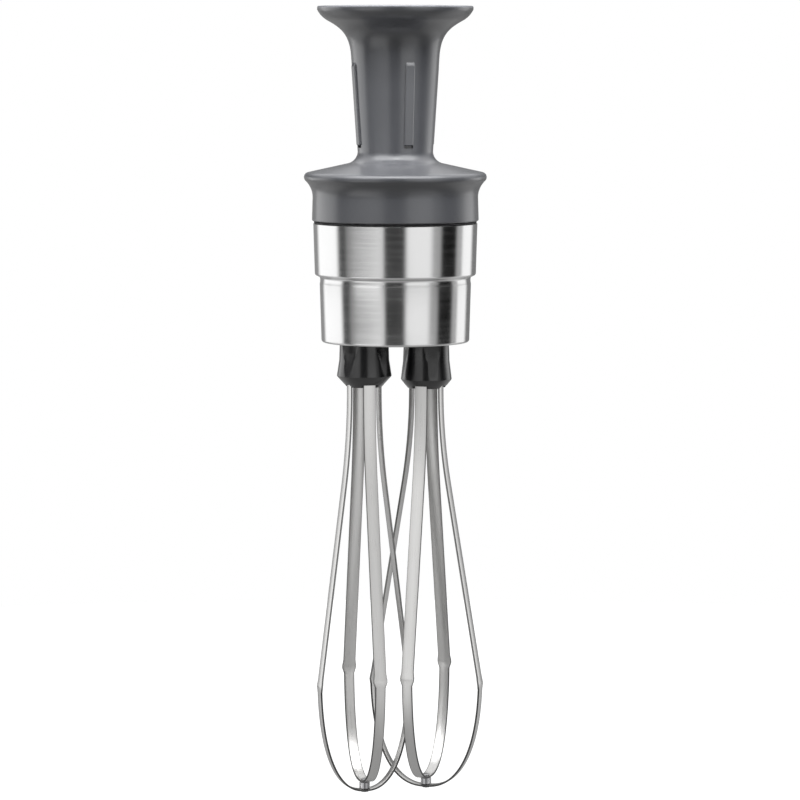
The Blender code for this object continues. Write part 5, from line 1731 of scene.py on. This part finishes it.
@dataclass(frozen=True)
class Studio:
    """The camera, the lamps, the pale floor and the white studio round them.

    What steel and gloss mirror is a ring of white screens and dark flags. It has one row for
    directions above the level, one for those near it and one on the floor, and two soft boxes
    hang over it.

    Attributes:
        distance: How far the camera stands from the part's axis.
        eye_height: The camera's height.
        azimuth: How far round from the front it stands.
        tilt: How far it looks down.
        aside: How far it stands to the right of the part.
        lens: Its focal length, in millimetres.
        sensor: The width of its sensor, in millimetres.
        lamps: The lamps.
        floor_drop: How far the floor lies under the part.
        floor_radius: Its radius.
        floor_white: How bright the camera sees it under the part.
        floor_gain: How much brighter it is further out.
        floor_span: Between which distances it grows brighter.
        mottle: How uneven it is.
        mottle_cells: How many patches of that lie in a metre.
        floor_grey: The grey that catches the part's shadow.
        under: How bright the floor under the part is mirrored, as a share of the sky.
        under_span: Between which distances it passes into the low row.
        ambient: Brightness of the world for rough surfaces.
        ambient_low: The share of it that comes from below.
        ambient_span: Between which heights of a direction the rest is added.
        sky: Brightness of the brightest screen.
        row_span: Between which heights of a direction the middle row passes into the high one.
        ceiling: The grey overhead.
        ceiling_span: Between which heights of a direction the high row passes into it.
        box: Brightness of the two soft boxes.
        box_rise: How high they hang.
        box_turns: How far round from the camera they hang.
        box_span: Between which cosines of the angle from its middle a box's edge lies.
        high_row: The upper screens and flags.
        middle_row: Those near the level.
        low_row: Those on the floor.
    """

    distance: float = 2.0
    eye_height: float = -28.0 * MM
    azimuth: float = math.radians(-20.0)
    tilt: float = math.radians(5.48)
    aside: float = 2.6 * MM
    lens: float = 161.1
    sensor: float = 36.0
    lamps: tuple[Lamp, ...] = (
        Lamp("left lamp", -74.0, 48.0, 1.6, 0.8, 17.0),
        Lamp("right lamp", 74.0, 48.0, 1.6, 0.8, 17.0),
        Lamp("front lamp", 4.0, 58.0, 1.7, 0.6, 24.0),
        Lamp("top lamp", 0.0, 84.0, 1.5, 1.2, 7.0),
        Lamp("back lamp", 180.0, 36.0, 1.7, 1.2, 14.0),
    )
    floor_drop: float = 0.12
    floor_radius: float = 1.5
    floor_white: float = 0.84
    floor_gain: float = 0.2
    floor_span: Pair = (0.25, 0.8)
    mottle: float = 0.02
    mottle_cells: float = 3.0
    floor_grey: float = 0.12
    under: float = 0.1
    under_span: Pair = (0.2, 0.75)
    ambient: float = 0.12
    ambient_low: float = 0.25
    ambient_span: Pair = (-0.3, 0.9)
    sky: float = 2.4
    row_span: Pair = (0.02, 0.14)
    ceiling: float = 0.5
    ceiling_span: Pair = (0.3, 0.6)
    box: float = 1.35
    box_rise: float = math.radians(56.0)
    box_turns: Pair = (math.radians(-44.0), math.radians(40.0))
    box_span: Pair = (0.85, 0.93)
    high_row: Row = (
        (-180.0, -128.0, 0.07), (-110.0, -94.0, 0.4), (-86.0, -74.0, 0.04), (-60.0, -26.0, 0.5),
        (-14.0, 12.0, 0.03), (22.0, 50.0, 0.3), (70.0, 96.0, 0.03), (104.0, 124.0, 0.3),
        (138.0, 180.0, 0.07),
    )
    middle_row: Row = (
        (-180.0, -146.0, 0.14), (-136.0, -93.0, 0.62), (-86.0, -77.0, 0.04), (-71.0, -69.0, 0.14),
        (-20.0, -18.0, 0.38), (-14.0, 12.0, 0.02), (18.0, 50.0, 0.5), (57.0, 66.0, 0.2),
        (71.0, 94.0, 0.0), (100.0, 108.0, 0.22), (112.0, 134.0, 0.56), (143.0, 180.0, 0.1),
    )
    low_row: Row = (
        (-180.0, -140.0, 0.12), (-120.0, -96.0, 0.3), (-86.0, -76.0, 0.03), (-62.0, -24.0, 0.44),
        (-14.0, 12.0, 0.02), (25.0, 60.0, 0.28), (70.0, 94.0, 0.02), (108.0, 130.0, 0.25),
        (144.0, 180.0, 0.12),
    )

    @property
    def towards(self) -> Vector:
        """The level direction from the part to the camera."""
        return Vector((math.sin(self.azimuth), -math.cos(self.azimuth), 0.0))

    @property
    def right(self) -> Vector:
        """The camera's right-hand direction."""
        return Vector((math.cos(self.azimuth), math.sin(self.azimuth), 0.0))

    def direction(self, turn: float, rise: float) -> Vector:
        """The direction that lies a turn round from the camera and a rise above the level."""
        level = self.towards * math.cos(turn) + self.right * math.sin(turn)
        return level * math.cos(rise) + Vector((0.0, 0.0, math.sin(rise)))

    def place_camera(self) -> None:
        """Stand the camera where the photograph was taken from."""
        data = bpy.data.cameras.new("camera")
        data.lens = self.lens
        data.sensor_width = self.sensor
        camera = bpy.data.objects.new("camera", data)
        bpy.context.scene.collection.objects.link(camera)
        level = self.towards * self.distance + self.right * self.aside
        camera.location = level + Vector((0.0, 0.0, self.eye_height))
        camera.rotation_euler = (math.pi / 2.0 - self.tilt, 0.0, self.azimuth)
        bpy.context.scene.camera = camera

    def hang(self, lamp: Lamp, aim: Vector) -> None:
        """Hang one lamp.

        Args:
            lamp: The lamp.
            aim: The point it shines at.
        """
        direction = self.direction(math.radians(lamp.angle), math.radians(lamp.rise))
        data = bpy.data.lights.new(lamp.name, "AREA")
        data.shape = "SQUARE"
        data.size = lamp.width
        data.energy = lamp.watts
        hung = bpy.data.objects.new(lamp.name, data)
        bpy.context.scene.collection.objects.link(hung)
        hung.location = aim + direction * lamp.reach
        hung.rotation_euler = direction.to_track_quat("Z", "Y").to_euler()
        hung.visible_glossy = False

    def flags(self, graph: Graph, x: Wire, y: Wire, row: Row) -> Wire:
        """A row of white screens and dark flags that stand round the part, for what mirrors them.

        Args:
            graph: The graph that reads them.
            x: How far to the side a direction or place lies.
            y: How far back it lies.
            row: The screens and flags.

        Returns:
            Their brightness, as a share of the brightest.
        """
        start = math.atan2(self.towards.y, self.towards.x)
        angle = graph.math("ARCTAN2", y, x) - start
        share = graph.math("FRACT", angle / math.tau + 0.5)
        stops = []
        for first, last, grey in row:
            stops += [(first / 360.0 + 0.5, grey), (last / 360.0 + 0.5, grey)]
        return graph.out("ShaderNodeValToRGB", {"stops": stops}, {0: share})

    def make_sky(self) -> None:
        """Give the world its white studio, with the dark flags that steel mirrors."""
        world = bpy.data.worlds.new("studio")
        world.use_nodes = True
        bpy.context.scene.world = world
        graph = Graph(world.node_tree)
        x, y, z = graph.split(graph.out("ShaderNodeTexCoord", None, None, "Generated"))
        middle = self.flags(graph, x, y, self.middle_row)
        high = self.flags(graph, x, y, self.high_row)
        ring = middle + (high - middle) * z.ease(*self.row_span)
        mirrored = ring + (self.ceiling - ring) * z.ease(*self.ceiling_span)
        for turn in self.box_turns:
            front = self.direction(turn, self.box_rise)
            facing = x * front.x + y * front.y + z * front.z
            mirrored = mirrored + facing.ease(*self.box_span) * self.box
        seen, glossy = graph.rays()
        rest = (1.0 - seen - glossy).clamped()
        above = self.ambient_low + z.ease(*self.ambient_span)
        strength = seen + glossy * mirrored * self.sky + rest * above * self.ambient
        back = graph.out("ShaderNodeBackground", None,
                         {"Color": (1.0, 1.0, 1.0, 1.0), "Strength": strength})
        graph.node("ShaderNodeOutputWorld", None, {"Surface": back})

    def make_floor_material(self) -> bpy.types.Material:
        """Make the floor's matt grey, whose glow makes it pale to the camera.

        Returns:
            The material.
        """
        material = bpy.data.materials.new("pale floor")
        material.use_nodes = True
        graph = Graph(material.node_tree)
        place = graph.out("ShaderNodeTexCoord", None, None, "Object")
        flat = graph.stretch(place, (1.0, 1.0, 0.0))
        away = graph.out("ShaderNodeVectorMath", {"operation": "LENGTH"}, {0: flat}, "Value")
        seen, glossy = graph.rays()
        x, y, _ = graph.split(place)
        low = self.flags(graph, x, y, self.low_row)
        mirrored = self.under + (low - self.under) * away.ease(*self.under_span)
        mottle = graph.noise(place, (self.mottle_cells,) * 3) * self.mottle
        pale = self.floor_white + away.ease(*self.floor_span) * self.floor_gain + mottle
        glow = seen * pale + glossy * mirrored * self.sky
        grey = (self.floor_grey, self.floor_grey, self.floor_grey, 1.0)
        matt = graph.out("ShaderNodeBsdfDiffuse", None, {"Color": grey})
        shine = graph.out("ShaderNodeEmission", None, {"Strength": glow})
        both = graph.out("ShaderNodeAddShader", None, {0: matt, 1: shine})
        graph.node("ShaderNodeOutputMaterial", None, {"Surface": both})
        return material

    def lay_floor(self, lowest: float) -> None:
        """Lay the pale floor under the hanging part.

        Args:
            lowest: The height of the part's lowest point.
        """
        shape = bmesh.new()
        bmesh.ops.create_circle(shape, cap_ends=True, segments=SMALL_STEPS, radius=self.floor_radius)
        mesh = bpy.data.meshes.new("floor")
        shape.to_mesh(mesh)
        shape.free()
        mesh.transform(Matrix.Translation((0.0, 0.0, lowest - self.floor_drop)))
        floor = hold(mesh)
        mesh.materials.append(self.make_floor_material())
        floor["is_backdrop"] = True

    def build(self, low: Vector, high: Vector) -> None:
        """Set up the whole studio.

        Args:
            low: The part's lowest corner.
            high: The part's highest corner.
        """
        bpy.context.scene.view_settings.view_transform = "Standard"
        self.place_camera()
        for lamp in self.lamps:
            self.hang(lamp, (low + high) / 2.0)
        self.make_sky()
        self.lay_floor(low.z)


def dress_nodes(frame: dict) -> None:
    """Give every node of the part the finish of its material slot.
    """
    by_slot = {finish.slot: finish for finish in FINISHES}
    for entry in frame["record"]["subparts"]:
        node = frame["nodes"][entry["node"]]
        material = by_slot[entry["material_slot"]].material()
        for slot in node.material_slots:
            slot.material = material
        LOG.info("%s wears %s", entry["node"], material.name)


def main() -> None:
    """Dress the part, make its fine pieces and light it."""
    logging.basicConfig(level=logging.INFO, format="%(message)s")
    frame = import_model()
    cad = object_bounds()
    low, high = Vector(cad[0]), Vector(cad[1])
    Studio().build(low, high)
    dress_nodes(frame)
    shop = Workshop(ring_tree(), strip_tree())
    Head().build(shop, "housing", "socket_shell", "upper_housing")
    Cup().build(shop, "housing")
    DriveEnd().build(shop, "input", "housing")
    for whisk in (LEFT_WHISK, RIGHT_WHISK):
        whisk.build(shop)


if __name__ == "__main__":
    main()
